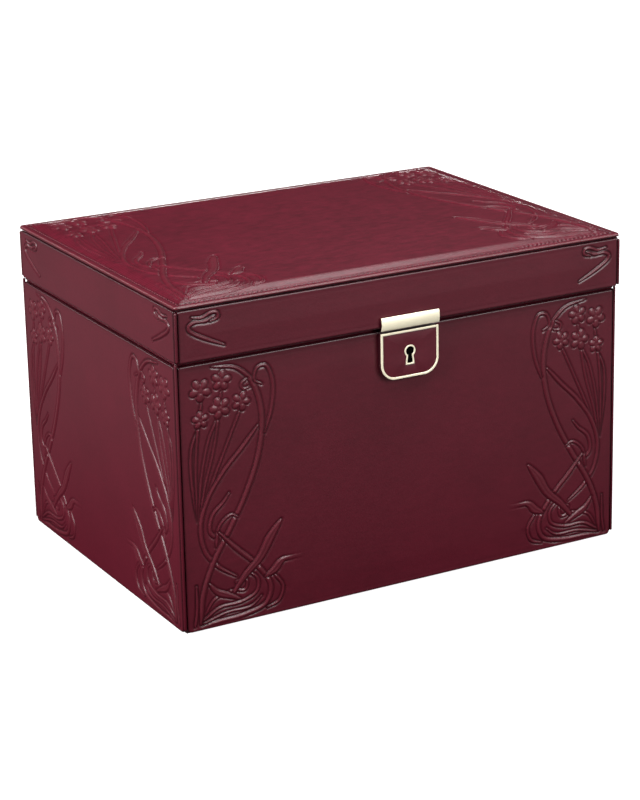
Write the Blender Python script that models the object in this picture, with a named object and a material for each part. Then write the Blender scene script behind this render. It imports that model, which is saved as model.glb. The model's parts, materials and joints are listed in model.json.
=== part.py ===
"""A lockable leather jewellery case: a board box with leather panels, a hinged lid with a mirror,
a lift-out tray over three deep compartments, and a quarter-turn box lock behind a keyhole plate.

Metres, +Z up, +X to the right and -Y to the front. The origin is on the floor under the middle
of the case. Run it with: blender --background --python part.py
"""

import math

import bmesh
import bpy
from mathutils import Vector

# ---------------------------------------------------------------- driving dimensions

CASE_WIDTH = 0.290
CASE_DEPTH = 0.2118
CASE_TOP = 0.156  # height of the case's rim
SEAM_GAP = 0.0015  # the dark line between case and lid
LID_HEIGHT = 0.0326
LID_OVERHANG = 0.003  # the lid stands this far in front of the case
LID_SIDE_OVERHANG = 0.0004

GAP = 0.0003  # left between pieces that touch
ROUND_SIDES = 24  # facets around a turned piece
LEATHER = 0.002  # leather on thin card
FOLD_ROUND = 0.35  # radius of a folded leather edge, as a share of its thickness
BOARD = 0.007
LINING = 0.002
BINDING = 0.0008  # leather turned in over the rim
FELT = 0.0015
SKIN_LIFT = 0.0006  # the leather panels end this far above the floor
EDGE_DROP = 0.0006  # at the seam, the leather stops this far short of the boards' edges
CORNER_GROOVE = 0.0014  # between the front panel's folded edge and the side panel
LIP_RISE = 0.004  # the linings stand this far above the rim and locate the lid

HINGE_RADIUS = 0.0028
HINGE_SETBACK = 0.0035  # the hinge axis lies this far behind the back leather
HINGE_LENGTH = 0.040
HINGE_SPACING = 0.170
HINGE_LEAF = 0.0005
HINGE_LEAF_REACH = 0.0115
HINGE_NECK_OVERLAP = 0.001
HINGE_PIN_RADIUS = 0.0009
HINGE_BORE_RADIUS = 0.0010

TOP_PANEL = 0.0017
TOP_SHADOW_GAP = 0.0010
LID_BOARD = 0.0052
LID_PAD = 0.003

MIRROR_WIDTH = 0.216
MIRROR_DEPTH = 0.136
MIRROR_THICKNESS = 0.002
MIRROR_BORDER = 0.010

TRAY_CLEARANCE = 0.0008
TRAY_TOP = 0.154
TRAY_HEIGHT = 0.048
TRAY_FLOOR = 0.0025
TRAY_WALL = 0.004
TRAY_DIVIDER = 0.003
TRAY_DIVIDER_TOP = 0.150
TRAY_DIVIDER_X = (-0.036, 0.047)
TRAY_CROSS_Y = 0.022
LEDGE_WIDTH = 0.006
LEDGE_HEIGHT = 0.008

RING_ROLLS = 5
RING_ROLL_RADIUS = 0.0074
RING_CUSHION_HEIGHT = 0.031
PULL_THICKNESS = 0.0012
PULL_WIDTH = 0.018
PULL_LOW = 0.136
PULL_HIGH = 0.158

LOWER_DIVIDER = 0.003
LOWER_DIVIDER_X = -0.040
LOWER_DIVIDER_HEIGHT = 0.0835

PLATE_WIDTH = 0.0378
PLATE_HEIGHT = 0.028
PLATE_CORNER = 0.0095
PLATE_PROUD = 0.0037
PLATE_RIM = 0.0012
PLATE_POCKET = 0.0011
PLATE_TOP = CASE_TOP - 0.0012

STRIKE_HEIGHT = 0.0077
STRIKE_EDGE = 0.0009
STRIKE_DROP = 0.0009  # the bar covers this much of the seam

KEYHOLE_Z = 0.1423  # centre of the keyhole's round part, and of the lock cam
KEYHOLE_RADIUS = 0.0023
KEYHOLE_WAIST = 0.0010
KEYHOLE_FOOT = 0.0016
KEYHOLE_DROP = 0.0067
KEYHOLE_RIM = 0.0013

LOCK_WIDTH = 0.036
LOCK_BOTTOM = 0.1295
LOCK_TOP = 0.153
LOCK_SHELL = 0.0008
LOCK_CAVITY = 0.0035
LOCK_LAYER = 0.0012  # thickness of the cam, the bolt and the tongue
BOLT_TRAVEL = 0.005
CAM_RADIUS = 0.0054
CAM_PIN_RADIUS = 0.0008
KEY_BARREL_RADIUS = 0.0017
KEY_BIT_HALF = 0.0007
KEY_BIT_REACH = 0.0042
TONGUE_HALF = 0.0055
TONGUE_BOTTOM = 0.1456
TONGUE_TOP = 0.1722
NOSE_BOTTOM = 0.1478  # the bolt's nose, and the tongue's notch with NOSE_PLAY around it
NOSE_TOP = 0.1513
NOSE_PLAY = 0.0006
NOSE_CLEAR = 0.0008  # between the unlocked nose and the tongue
BOLT_FOOT_LEFT = -0.0080
BOLT_FOOT_DROP = 0.0019  # the foot's top edge, below the cam's centre
BOLT_FOOT_HEIGHT = 0.0088
BOLT_POST_LEFT = 0.0109
BOLT_POST_RIGHT = 0.0152
BOLT_NOTCH_DEPTH = 0.0029
BOLT_NOTCH_PLAY = 0.00027

# ---------------------------------------------------------------- places worked out from them

half_w = CASE_WIDTH / 2
half_d = CASE_DEPTH / 2
board_x = half_w - LEATHER - GAP
board_y = half_d - LEATHER - GAP
inner_x = board_x - BOARD
inner_y = board_y - BOARD
lining_x = inner_x - GAP
lining_y = inner_y - GAP
cavity_x = lining_x - LINING
cavity_y = lining_y - LINING

wall_bottom = FELT + GAP
wall_top = CASE_TOP - BINDING - GAP
leather_top = CASE_TOP - EDGE_DROP
base_top = wall_bottom + BOARD
floor_top = base_top + GAP + LINING

lid_bottom = CASE_TOP + SEAM_GAP
skirt_bottom = lid_bottom + EDGE_DROP
lid_top = lid_bottom + LID_HEIGHT
lid_half_w = half_w + LID_SIDE_OVERHANG
lid_front = -half_d - LID_OVERHANG
lid_back = half_d
panel_bottom = lid_top - TOP_PANEL
skirt_top = panel_bottom - TOP_SHADOW_GAP
lid_board_top = panel_bottom - GAP
lid_wall_top = lid_board_top - LID_BOARD - GAP
lid_inner_x = lid_half_w - LEATHER - GAP - BOARD
lid_inner_front = lid_front + LEATHER + GAP + BOARD
lid_inner_back = lid_back - LEATHER - GAP - BOARD
lid_pad_bottom = lid_wall_top - LID_PAD

hinge_axis = Vector((0, half_d + HINGE_SETBACK, CASE_TOP + SEAM_GAP / 2))

lock_front = -board_y + 0.0014 + GAP  # a thin web of the front board stays in front of the lock
lock_back = lock_front + LOCK_SHELL + LOCK_CAVITY
cam_front = lock_front + LOCK_SHELL + GAP
bolt_front = cam_front + LOCK_LAYER + GAP
cam_pin_offset = BOLT_TRAVEL / 2  # across and below the cam's centre, while unlocked
lock_centre = Vector((0, cam_front + LOCK_LAYER / 2, KEYHOLE_Z))

tray_x = cavity_x - TRAY_CLEARANCE
tray_y = cavity_y - TRAY_CLEARANCE
tray_bottom = TRAY_TOP - TRAY_HEIGHT
tray_floor_top = tray_bottom + TRAY_FLOOR + GAP
tray_centre = Vector((0, 0, tray_bottom))

CUT_THROUGH = 0.004  # how far a cutter runs past the faces it opens

# ---------------------------------------------------------------- materials


def finish(name, colour, roughness, metallic=0.0):
    """A Principled BSDF in this colour, shared by every piece with that finish."""
    made = bpy.data.materials.new(name)
    made.use_nodes = True
    shader = made.node_tree.nodes["Principled BSDF"]
    shader.inputs["Base Color"].default_value = (*colour, 1)
    shader.inputs["Roughness"].default_value = roughness
    shader.inputs["Metallic"].default_value = metallic
    made.diffuse_color = (*colour, 1)
    return made


for old in list(bpy.data.objects):
    bpy.data.objects.remove(old)

LEATHER_FINISH = finish("burgundy_leather", (0.115, 0.014, 0.026), 0.42)
BOARD_FINISH = finish("box_board", (0.36, 0.24, 0.15), 0.8)
SUEDE_FINISH = finish("wine_suede", (0.30, 0.085, 0.11), 0.95)
FELT_FINISH = finish("base_felt", (0.05, 0.012, 0.018), 0.95)
GOLD_FINISH = finish("pale_gold", (0.88, 0.78, 0.52), 0.22, 1.0)
STEEL_FINISH = finish("lock_steel", (0.60, 0.60, 0.58), 0.35, 1.0)
MIRROR_FINISH = finish("mirror_silver", (0.92, 0.93, 0.94), 0.02, 1.0)

# ---------------------------------------------------------------- modelling helpers


def pivot(name, place):
    """An empty on a joint's axis, which the pieces that move together are parented to."""
    made = bpy.data.objects.new(name, None)
    made.location = place
    bpy.context.scene.collection.objects.link(made)
    return made


def add_piece(name, shape, material, origin, parent=None):
    """Turns a bmesh, built in world coordinates, into an object whose origin is at `origin`."""
    origin = Vector(origin)
    bmesh.ops.translate(shape, verts=shape.verts, vec=-origin)
    bmesh.ops.recalc_face_normals(shape, faces=shape.faces)
    mesh = bpy.data.meshes.new(name)
    shape.to_mesh(mesh)
    shape.free()
    made = bpy.data.objects.new(name, mesh)
    bpy.context.scene.collection.objects.link(made)
    if material:
        mesh.materials.append(material)
    if parent:
        made.parent = parent
        made.location = origin - parent.location
    else:
        made.location = origin
    return made


def soften(piece, width, segments=2):
    """Rounds the piece's edges with a Bevel modifier."""
    bevel = piece.modifiers.new("rounded_edges", "BEVEL")
    bevel.width = width
    bevel.segments = segments
    bevel.limit_method = "ANGLE"
    return piece


def block(name, low, high, material=None, parent=None, edge=0.0):
    """A rectangular board from its lowest to its highest corner, with optional rounded edges."""
    low, high = Vector(low), Vector(high)
    shape = bmesh.new()
    bmesh.ops.create_cube(shape, size=1)
    bmesh.ops.scale(shape, verts=shape.verts, vec=high - low)
    bmesh.ops.translate(shape, verts=shape.verts, vec=(low + high) / 2)
    made = add_piece(name, shape, material, (low + high) / 2, parent)
    if edge:
        soften(made, edge)
    return made


def prism(name, outline, start, end, axis, material=None, parent=None, origin=None):
    """A flat outline extruded along X or Y. Outline points are (y, z) along X and (x, z) along Y."""
    shape = bmesh.new()

    def place(point, along):
        return (along, *point) if axis == "X" else (point[0], along, point[1])

    base = shape.faces.new([shape.verts.new(place(p, start)) for p in outline])
    pushed = bmesh.ops.extrude_face_region(shape, geom=[base])["geom"]
    moved = [part for part in pushed if isinstance(part, bmesh.types.BMVert)]
    shift = Vector((end - start, 0, 0)) if axis == "X" else Vector((0, end - start, 0))
    bmesh.ops.translate(shape, verts=moved, vec=shift)
    middle = Vector(place(outline[0], (start + end) / 2)) if origin is None else origin
    return add_piece(name, shape, material, middle, parent)


def arc(centre, radius, start, end, steps):
    """Points on a circle from one angle to another, in degrees, both ends included."""
    angles = [math.radians(start + (end - start) * i / steps) for i in range(steps + 1)]
    return [(centre[0] + radius * math.cos(a), centre[1] + radius * math.sin(a)) for a in angles]


def circle(centre, radius):
    return arc(centre, radius, 0, 360 - 360 / ROUND_SIDES, ROUND_SIDES - 1)


def as_cutter(made):
    """Marks a helper that shapes other pieces and isn't one itself."""
    made.hide_render = True
    made.display_type = "WIRE"
    return made


def cut(piece, *cutters):
    for cutter in cutters:
        change = piece.modifiers.new("cut_" + cutter.name, "BOOLEAN")
        change.operation = "DIFFERENCE"
        change.solver = "EXACT"
        change.object = as_cutter(cutter)
    return piece


def join(piece, *others):
    for other in others:
        change = piece.modifiers.new("join_" + other.name, "BOOLEAN")
        change.operation = "UNION"
        change.solver = "EXACT"
        change.object = as_cutter(other)
    return piece


# ---------------------------------------------------------------- outlines


def keyhole_outline(grow=0.0):
    """A round hole over a skirt that widens downwards, with every edge moved out by `grow`."""
    radius = KEYHOLE_RADIUS + grow
    waist = KEYHOLE_WAIST + grow
    lean = math.degrees(math.asin(waist / radius))
    foot_z = KEYHOLE_Z - KEYHOLE_DROP - grow
    round_part = arc((0, KEYHOLE_Z), radius, -90 + lean, 270 - lean, 20)
    return round_part + [(-KEYHOLE_FOOT - grow, foot_z), (KEYHOLE_FOOT + grow, foot_z)]


def plate_outline(inset=0.0):
    """The lock plate: square at the top, with large round corners at the bottom."""
    half = PLATE_WIDTH / 2 - inset
    top = PLATE_TOP - inset
    bottom = PLATE_TOP - PLATE_HEIGHT + inset
    radius = PLATE_CORNER - inset
    left = arc((-half + radius, bottom + radius), radius, 180, 270, 8)
    right = arc((half - radius, bottom + radius), radius, 270, 360, 8)
    return [(half, top), (-half, top)] + left + right


def frame_ring(name, outer, inner, bottom, top, material, parent=None):
    """A flat rectangular frame. `outer` and `inner` are (low x, low y, high x, high y)."""
    made = block(name, (*outer[:2], bottom), (*outer[2:], top), material, parent)
    hole = block(
        name + "_hole",
        (*inner[:2], bottom - CUT_THROUGH),
        (*inner[2:], top + CUT_THROUGH),
    )
    return cut(made, hole)


# ---------------------------------------------------------------- the case


def build_case_boards():
    """Four wall boards butted at the corners, and a base board let in between them."""
    front = block(
        "front_board",
        (-board_x, -board_y, wall_bottom),
        (board_x, -inner_y, wall_top),
        BOARD_FINISH,
    )
    mortise = block(
        "lock_mortise",
        (-LOCK_WIDTH / 2 - GAP, lock_front - GAP, LOCK_BOTTOM - GAP),
        (LOCK_WIDTH / 2 + GAP, -inner_y + CUT_THROUGH, wall_top + CUT_THROUGH),
    )
    keyway = prism(
        "board_keyway",
        keyhole_outline(2 * GAP),
        -board_y - CUT_THROUGH,
        lock_back,
        "Y",
    )
    cut(front, mortise, keyway)
    block(
        "back_board",
        (-board_x, inner_y, wall_bottom),
        (board_x, board_y, wall_top),
        BOARD_FINISH,
    )
    for side, name in ((-1, "left_board"), (1, "right_board")):
        near, far = sorted((side * inner_x, side * board_x))
        block(
            name,
            (near, -inner_y + GAP, wall_bottom),
            (far, inner_y - GAP, wall_top),
            BOARD_FINISH,
        )
    block(
        "base_board",
        (-inner_x + GAP, -inner_y + GAP, wall_bottom),
        (inner_x - GAP, inner_y - GAP, base_top),
        BOARD_FINISH,
    )
    block("base_felt", (-board_x, -board_y, 0), (board_x, board_y, FELT), FELT_FINISH)


def build_case_leather():
    """One leather panel on each face. The front and back panels cover the side panels' ends."""
    edge = LEATHER * FOLD_ROUND
    front = block(
        "front_leather",
        (-half_w, -half_d, SKIN_LIFT),
        (half_w, -half_d + LEATHER, leather_top),
        LEATHER_FINISH,
        edge=edge,
    )
    keyway = prism(
        "leather_keyway",
        keyhole_outline(GAP),
        -half_d - CUT_THROUGH,
        -board_y + GAP,
        "Y",
    )
    cut(front, keyway)
    block(
        "back_leather",
        (-half_w, half_d - LEATHER, SKIN_LIFT),
        (half_w, half_d, leather_top),
        LEATHER_FINISH,
        edge=edge,
    )
    reach = half_d - LEATHER - CORNER_GROOVE
    for side, name in ((-1, "left_leather"), (1, "right_leather")):
        near, far = sorted((side * (half_w - LEATHER), side * half_w))
        block(name, (near, -reach, SKIN_LIFT), (far, reach, leather_top), LEATHER_FINISH, edge=edge)
    binding = frame_ring(
        "rim_binding",
        (-board_x, -board_y, board_x, board_y),
        (-inner_x, -inner_y, inner_x, inner_y),
        CASE_TOP - BINDING,
        CASE_TOP,
        LEATHER_FINISH,
    )
    slot = block(
        "tongue_slot",
        (-TONGUE_HALF - GAP * 3, bolt_front - GAP * 3, wall_top),
        (TONGUE_HALF + GAP * 3, -inner_y + CUT_THROUGH, CASE_TOP + CUT_THROUGH),
    )
    cut(binding, slot)


def build_case_lining():
    """Suede-covered cards on the inside, standing above the rim as a lip, and a floor pad."""
    lip = CASE_TOP + LIP_RISE
    bottom = base_top + GAP
    for side, name in ((-1, "lining_front"), (1, "lining_back")):
        near, far = sorted((side * lining_y, side * cavity_y))
        block(name, (-lining_x, near, bottom), (lining_x, far, lip), SUEDE_FINISH)
    for side, name in ((-1, "lining_left"), (1, "lining_right")):
        near, far = sorted((side * lining_x, side * cavity_x))
        block(
            name,
            (near, -cavity_y + GAP, bottom),
            (far, cavity_y - GAP, lip),
            SUEDE_FINISH,
        )
    block(
        "lining_floor",
        (-cavity_x + GAP, -cavity_y + GAP, bottom),
        (cavity_x - GAP, cavity_y - GAP, floor_top),
        SUEDE_FINISH,
    )


def build_compartments():
    """Ledges that carry the tray, and two dividers that split the floor into three."""
    outer = cavity_x - GAP
    ledge_top = tray_bottom - GAP
    for side, name in ((-1, "tray_ledge_left"), (1, "tray_ledge_right")):
        near, far = sorted((side * outer, side * (outer - LEDGE_WIDTH)))
        block(
            name,
            (near, -cavity_y + GAP, ledge_top - LEDGE_HEIGHT),
            (far, cavity_y - GAP, ledge_top),
            SUEDE_FINISH,
        )
    bottom = floor_top + GAP
    top = bottom + LOWER_DIVIDER_HEIGHT
    half = LOWER_DIVIDER / 2
    block(
        "lower_divider_deep",
        (LOWER_DIVIDER_X - half, -cavity_y + GAP, bottom),
        (LOWER_DIVIDER_X + half, cavity_y - GAP, top),
        SUEDE_FINISH,
    )
    block(
        "lower_divider_wide",
        (LOWER_DIVIDER_X + half + GAP, -half, bottom),
        (cavity_x - GAP, half, top),
        SUEDE_FINISH,
    )


# ---------------------------------------------------------------- the lock


def build_lock_plate():
    """A cast plate with a raised rim and keyhole rim, and the leather inlay between them."""
    back = -half_d - GAP
    front = back - PLATE_PROUD
    plate = prism("lock_plate", plate_outline(), back, front, "Y", GOLD_FINISH)
    pocket = prism(
        "plate_pocket",
        plate_outline(PLATE_RIM),
        front + PLATE_POCKET,
        front - CUT_THROUGH,
        "Y",
    )
    island = prism(
        "keyhole_island",
        keyhole_outline(KEYHOLE_RIM),
        front + 2 * PLATE_POCKET,
        front - 2 * CUT_THROUGH,
        "Y",
    )
    cut(pocket, island)
    hole = prism(
        "plate_keyhole",
        keyhole_outline(),
        back + CUT_THROUGH,
        front - CUT_THROUGH,
        "Y",
    )
    cut(plate, pocket, hole)
    inlay = prism(
        "lock_plate_inlay",
        plate_outline(PLATE_RIM + GAP),
        front + PLATE_POCKET - GAP,
        front + GAP,
        "Y",
        LEATHER_FINISH,
    )
    opening = prism(
        "inlay_keyhole",
        keyhole_outline(KEYHOLE_RIM + GAP),
        back,
        front - CUT_THROUGH,
        "Y",
    )
    cut(inlay, opening)


def build_lock_case():
    """The lock's open steel box, let into the front board, and its back cover."""
    half = LOCK_WIDTH / 2
    case = block(
        "lock_case",
        (-half, lock_front, LOCK_BOTTOM),
        (half, lock_back, LOCK_TOP),
        STEEL_FINISH,
    )
    cavity = block(
        "lock_cavity",
        (-half + LOCK_SHELL, lock_front + LOCK_SHELL, LOCK_BOTTOM + LOCK_SHELL),
        (half - LOCK_SHELL, lock_back + CUT_THROUGH, LOCK_TOP - LOCK_SHELL),
    )
    mouth = block(
        "lock_mouth",
        (-TONGUE_HALF - 2 * GAP, bolt_front - 2 * GAP, LOCK_TOP - 2 * LOCK_SHELL),
        (TONGUE_HALF + 2 * GAP, lock_back + CUT_THROUGH, LOCK_TOP + CUT_THROUGH),
    )
    keyway = prism(
        "lock_keyway",
        keyhole_outline(GAP),
        lock_front - CUT_THROUGH,
        lock_front + 2 * LOCK_SHELL,
        "Y",
    )
    cut(case, cavity, mouth, keyway)
    block(
        "lock_cover",
        (-half, lock_back + GAP, LOCK_BOTTOM),
        (half, lock_back + GAP + LOCK_SHELL, LOCK_TOP),
        STEEL_FINISH,
    )


def build_lock_cam(parent):
    """The disc that the key turns. Its pin, at 45 degrees from straight down, drives the bolt."""
    disc = prism(
        "lock_cam",
        circle((0, KEYHOLE_Z), CAM_RADIUS),
        cam_front,
        cam_front + LOCK_LAYER,
        "Y",
        STEEL_FINISH,
        parent,
        lock_centre,
    )
    pin_centre = (cam_pin_offset, KEYHOLE_Z - cam_pin_offset)
    pin = prism(
        "cam_pin",
        circle(pin_centre, CAM_PIN_RADIUS),
        cam_front + LOCK_LAYER / 2,
        bolt_front + LOCK_LAYER,
        "Y",
    )
    barrel_hole = prism(
        "cam_barrel_hole",
        circle((0, KEYHOLE_Z), KEY_BARREL_RADIUS),
        cam_front - CUT_THROUGH,
        cam_front + CUT_THROUGH,
        "Y",
    )
    bit_slot = block(
        "cam_bit_slot",
        (-KEY_BIT_HALF, cam_front - CUT_THROUGH, KEYHOLE_Z - KEY_BIT_REACH),
        (KEY_BIT_HALF, cam_front + CUT_THROUGH, KEYHOLE_Z),
    )
    join(disc, pin)
    cut(disc, barrel_hole, bit_slot)


def build_lock_bolt(parent):
    """A C-shaped steel plate: a foot with a notch for the cam's pin, a post, and the nose."""
    notch = cam_pin_offset
    notch_half = CAM_PIN_RADIUS + BOLT_NOTCH_PLAY
    foot_top = KEYHOLE_Z - BOLT_FOOT_DROP
    foot_bottom = foot_top - BOLT_FOOT_HEIGHT
    nose_tip = TONGUE_HALF + NOSE_CLEAR
    outline = [
        (BOLT_FOOT_LEFT, foot_bottom),
        (BOLT_POST_RIGHT, foot_bottom),
        (BOLT_POST_RIGHT, NOSE_TOP),
        (nose_tip, NOSE_TOP),
        (nose_tip, NOSE_BOTTOM),
        (BOLT_POST_LEFT, NOSE_BOTTOM),
        (BOLT_POST_LEFT, foot_top),
        (notch + notch_half, foot_top),
        (notch + notch_half, foot_top - BOLT_NOTCH_DEPTH),
        (notch - notch_half, foot_top - BOLT_NOTCH_DEPTH),
        (notch - notch_half, foot_top),
        (BOLT_FOOT_LEFT, foot_top),
    ]
    prism(
        "lock_bolt",
        outline,
        bolt_front,
        bolt_front + LOCK_LAYER,
        "Y",
        STEEL_FINISH,
        parent,
        lock_centre,
    )


# ---------------------------------------------------------------- the hinges


def knuckle(name, left, right):
    """A length of hinge barrel, as a cylinder along X."""
    centre = (hinge_axis.y, hinge_axis.z)
    return prism(name, circle(centre, HINGE_RADIUS), left, right, "X")


def hinge_leaf(name, middle, knuckles, level, parent=None):
    """A leaf that lies in the seam, its knuckles, and the pin's bore through them.
    `level` is the height of the leaf's middle above the hinge axis."""
    half = HINGE_LENGTH / 2
    z = hinge_axis.z + level
    clear = hinge_axis.y - HINGE_RADIUS - GAP
    leaf = block(
        name,
        (middle - half, hinge_axis.y - HINGE_LEAF_REACH, z - HINGE_LEAF / 2),
        (middle + half, clear, z + HINGE_LEAF / 2),
        GOLD_FINISH,
        parent,
    )
    for number, (left, right) in enumerate(knuckles):
        neck = block(
            f"{name}_neck_{number}",
            (middle + left, clear - HINGE_NECK_OVERLAP, z - HINGE_LEAF / 2),
            (middle + right, hinge_axis.y - HINGE_RADIUS * 0.6, z + HINGE_LEAF / 2),
        )
        barrel = knuckle(f"{name}_barrel_{number}", middle + left, middle + right)
        join(leaf, neck, barrel)
    bore = prism(
        f"{name}_bore",
        circle((hinge_axis.y, hinge_axis.z), HINGE_BORE_RADIUS),
        middle - HINGE_LENGTH,
        middle + HINGE_LENGTH,
        "X",
    )
    return cut(leaf, bore)


def build_hinges(lid_pivot):
    """Two butt hinges: two knuckles on the case, one on the lid, and a pin that stays in the case."""
    half = HINGE_LENGTH / 2
    third = HINGE_LENGTH * 0.3
    outer = [(-half, -half + third), (half - third, half)]
    inner = [(-half + third + GAP, half - third - GAP)]
    level = GAP / 2 + HINGE_LEAF / 2
    for side, word in ((-1, "left"), (1, "right")):
        middle = side * HINGE_SPACING / 2
        hinge_leaf(f"hinge_leaf_case_{word}", middle, outer, -level)
        hinge_leaf(f"hinge_leaf_lid_{word}", middle, inner, level, lid_pivot)
        prism(
            f"hinge_pin_{word}",
            circle((hinge_axis.y, hinge_axis.z), HINGE_PIN_RADIUS),
            middle - half,
            middle + half,
            "X",
            STEEL_FINISH,
            origin=hinge_axis + Vector((middle, 0, 0)),
        )


# ---------------------------------------------------------------- the lid


def build_lid_boards(lid):
    """A shallow tray of boards, open downwards."""
    outer_x = lid_inner_x + BOARD
    front, back = lid_inner_front - BOARD, lid_inner_back + BOARD
    bottom = lid_bottom + GAP
    block(
        "lid_front_board",
        (-outer_x, front, bottom),
        (outer_x, lid_inner_front, lid_wall_top),
        BOARD_FINISH,
        lid,
    )
    block(
        "lid_back_board",
        (-outer_x, lid_inner_back, bottom),
        (outer_x, back, lid_wall_top),
        BOARD_FINISH,
        lid,
    )
    for side, name in ((-1, "lid_left_board"), (1, "lid_right_board")):
        near, far = sorted((side * lid_inner_x, side * outer_x))
        block(
            name,
            (near, lid_inner_front + GAP, bottom),
            (far, lid_inner_back - GAP, lid_wall_top),
            BOARD_FINISH,
            lid,
        )
    block(
        "lid_top_board",
        (-outer_x, front, lid_wall_top + GAP),
        (outer_x, back, lid_board_top),
        BOARD_FINISH,
        lid,
    )


def build_lid_leather(lid):
    """Four leather skirts and the padded, stitched panel that lies over them."""
    edge = LEATHER * FOLD_ROUND
    block(
        "lid_front_leather",
        (-lid_half_w, lid_front, skirt_bottom),
        (lid_half_w, lid_front + LEATHER, skirt_top),
        LEATHER_FINISH,
        lid,
        edge,
    )
    block(
        "lid_back_leather",
        (-lid_half_w, lid_back - LEATHER, skirt_bottom),
        (lid_half_w, lid_back, skirt_top),
        LEATHER_FINISH,
        lid,
        edge,
    )
    front = lid_front + LEATHER + CORNER_GROOVE
    back = lid_back - LEATHER - CORNER_GROOVE
    for side, name in ((-1, "lid_left_leather"), (1, "lid_right_leather")):
        near, far = sorted((side * (lid_half_w - LEATHER), side * lid_half_w))
        block(
            name,
            (near, front, skirt_bottom),
            (far, back, skirt_top),
            LEATHER_FINISH,
            lid,
            edge,
        )
    block(
        "lid_top_leather",
        (-lid_half_w, lid_front, panel_bottom),
        (lid_half_w, lid_back, lid_top),
        LEATHER_FINISH,
        lid,
        TOP_PANEL * FOLD_ROUND,
    )


def build_lid_inside(lid):
    """A suede pad under the top board, and a mirror in a leather border on it."""
    block(
        "lid_lining",
        (-lid_inner_x + GAP, lid_inner_front + GAP, lid_pad_bottom),
        (lid_inner_x - GAP, lid_inner_back - GAP, lid_wall_top),
        SUEDE_FINISH,
        lid,
    )
    middle = (lid_inner_front + lid_inner_back) / 2
    top = lid_pad_bottom - GAP
    bottom = top - MIRROR_THICKNESS
    half_x, half_y = MIRROR_WIDTH / 2, MIRROR_DEPTH / 2
    border = MIRROR_BORDER
    frame_ring(
        "mirror_frame",
        (-half_x - border, middle - half_y - border, half_x + border, middle + half_y + border),
        (-half_x, middle - half_y, half_x, middle + half_y),
        bottom,
        top,
        LEATHER_FINISH,
        lid,
    )
    block(
        "mirror_glass",
        (-half_x + GAP, middle - half_y + GAP, bottom),
        (half_x - GAP, middle + half_y - GAP, top),
        MIRROR_FINISH,
        lid,
    )


def build_strike(lid):
    """The gold bar on the lid's front edge, and the notched tongue behind it that the bolt holds."""
    back = lid_front - GAP
    proud = HINGE_RADIUS + HINGE_SETBACK - LID_OVERHANG - GAP
    bottom = lid_bottom - STRIKE_DROP
    steps = 10
    crown = [
        (
            back - STRIKE_EDGE - (proud - STRIKE_EDGE) * math.sin(math.pi * i / steps),
            bottom + STRIKE_HEIGHT * i / steps,
        )
        for i in range(steps + 1)
    ]
    profile = [(back, bottom)] + crown + [(back, bottom + STRIKE_HEIGHT)]
    prism("strike_bar", profile, -PLATE_WIDTH / 2, PLATE_WIDTH / 2, "X", GOLD_FINISH, lid)

    notch_left = TONGUE_HALF + NOSE_CLEAR - BOLT_TRAVEL - NOSE_PLAY
    half = TONGUE_HALF
    outline = [
        (-half, TONGUE_BOTTOM),
        (half, TONGUE_BOTTOM),
        (half, NOSE_BOTTOM - NOSE_PLAY),
        (notch_left, NOSE_BOTTOM - NOSE_PLAY),
        (notch_left, NOSE_TOP + NOSE_PLAY),
        (half, NOSE_TOP + NOSE_PLAY),
        (half, TONGUE_TOP),
        (-half, TONGUE_TOP),
    ]
    prism("strike_tongue", outline, bolt_front, bolt_front + LOCK_LAYER, "Y", STEEL_FINISH, lid)


# ---------------------------------------------------------------- the tray


def build_tray_box(tray):
    """A suede-covered tray: a floor, four walls that stand on it, and four dividers."""
    block(
        "tray_floor",
        (-tray_x, -tray_y, tray_bottom),
        (tray_x, tray_y, tray_bottom + TRAY_FLOOR),
        SUEDE_FINISH,
        tray,
    )
    inside_x, inside_y = tray_x - TRAY_WALL, tray_y - TRAY_WALL
    for side, name in ((-1, "tray_wall_front"), (1, "tray_wall_back")):
        near, far = sorted((side * inside_y, side * tray_y))
        block(name, (-tray_x, near, tray_floor_top), (tray_x, far, TRAY_TOP), SUEDE_FINISH, tray)
    for side, name in ((-1, "tray_wall_left"), (1, "tray_wall_right")):
        near, far = sorted((side * inside_x, side * tray_x))
        block(
            name,
            (near, -inside_y + GAP, tray_floor_top),
            (far, inside_y - GAP, TRAY_TOP),
            SUEDE_FINISH,
            tray,
        )
    half = TRAY_DIVIDER / 2
    for x, name in zip(TRAY_DIVIDER_X, ("tray_divider_left", "tray_divider_right")):
        block(
            name,
            (x - half, -inside_y + GAP, tray_floor_top),
            (x + half, inside_y - GAP, TRAY_DIVIDER_TOP),
            SUEDE_FINISH,
            tray,
        )
    left_bay = (-inside_x + GAP, TRAY_DIVIDER_X[0] - half - GAP)
    right_bay = (TRAY_DIVIDER_X[1] + half + GAP, inside_x - GAP)
    cushion_front = inside_y - 2 * RING_ROLLS * RING_ROLL_RADIUS - 2 * GAP
    for (left, right), back, name in (
        (left_bay, cushion_front - GAP, "tray_cross_divider_left"),
        (right_bay, TRAY_CROSS_Y, "tray_cross_divider_right"),
    ):
        block(
            name,
            (left, back - TRAY_DIVIDER, tray_floor_top),
            (right, back, TRAY_DIVIDER_TOP),
            SUEDE_FINISH,
            tray,
        )
    build_ring_cushion(tray, left_bay, cushion_front)


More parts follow.
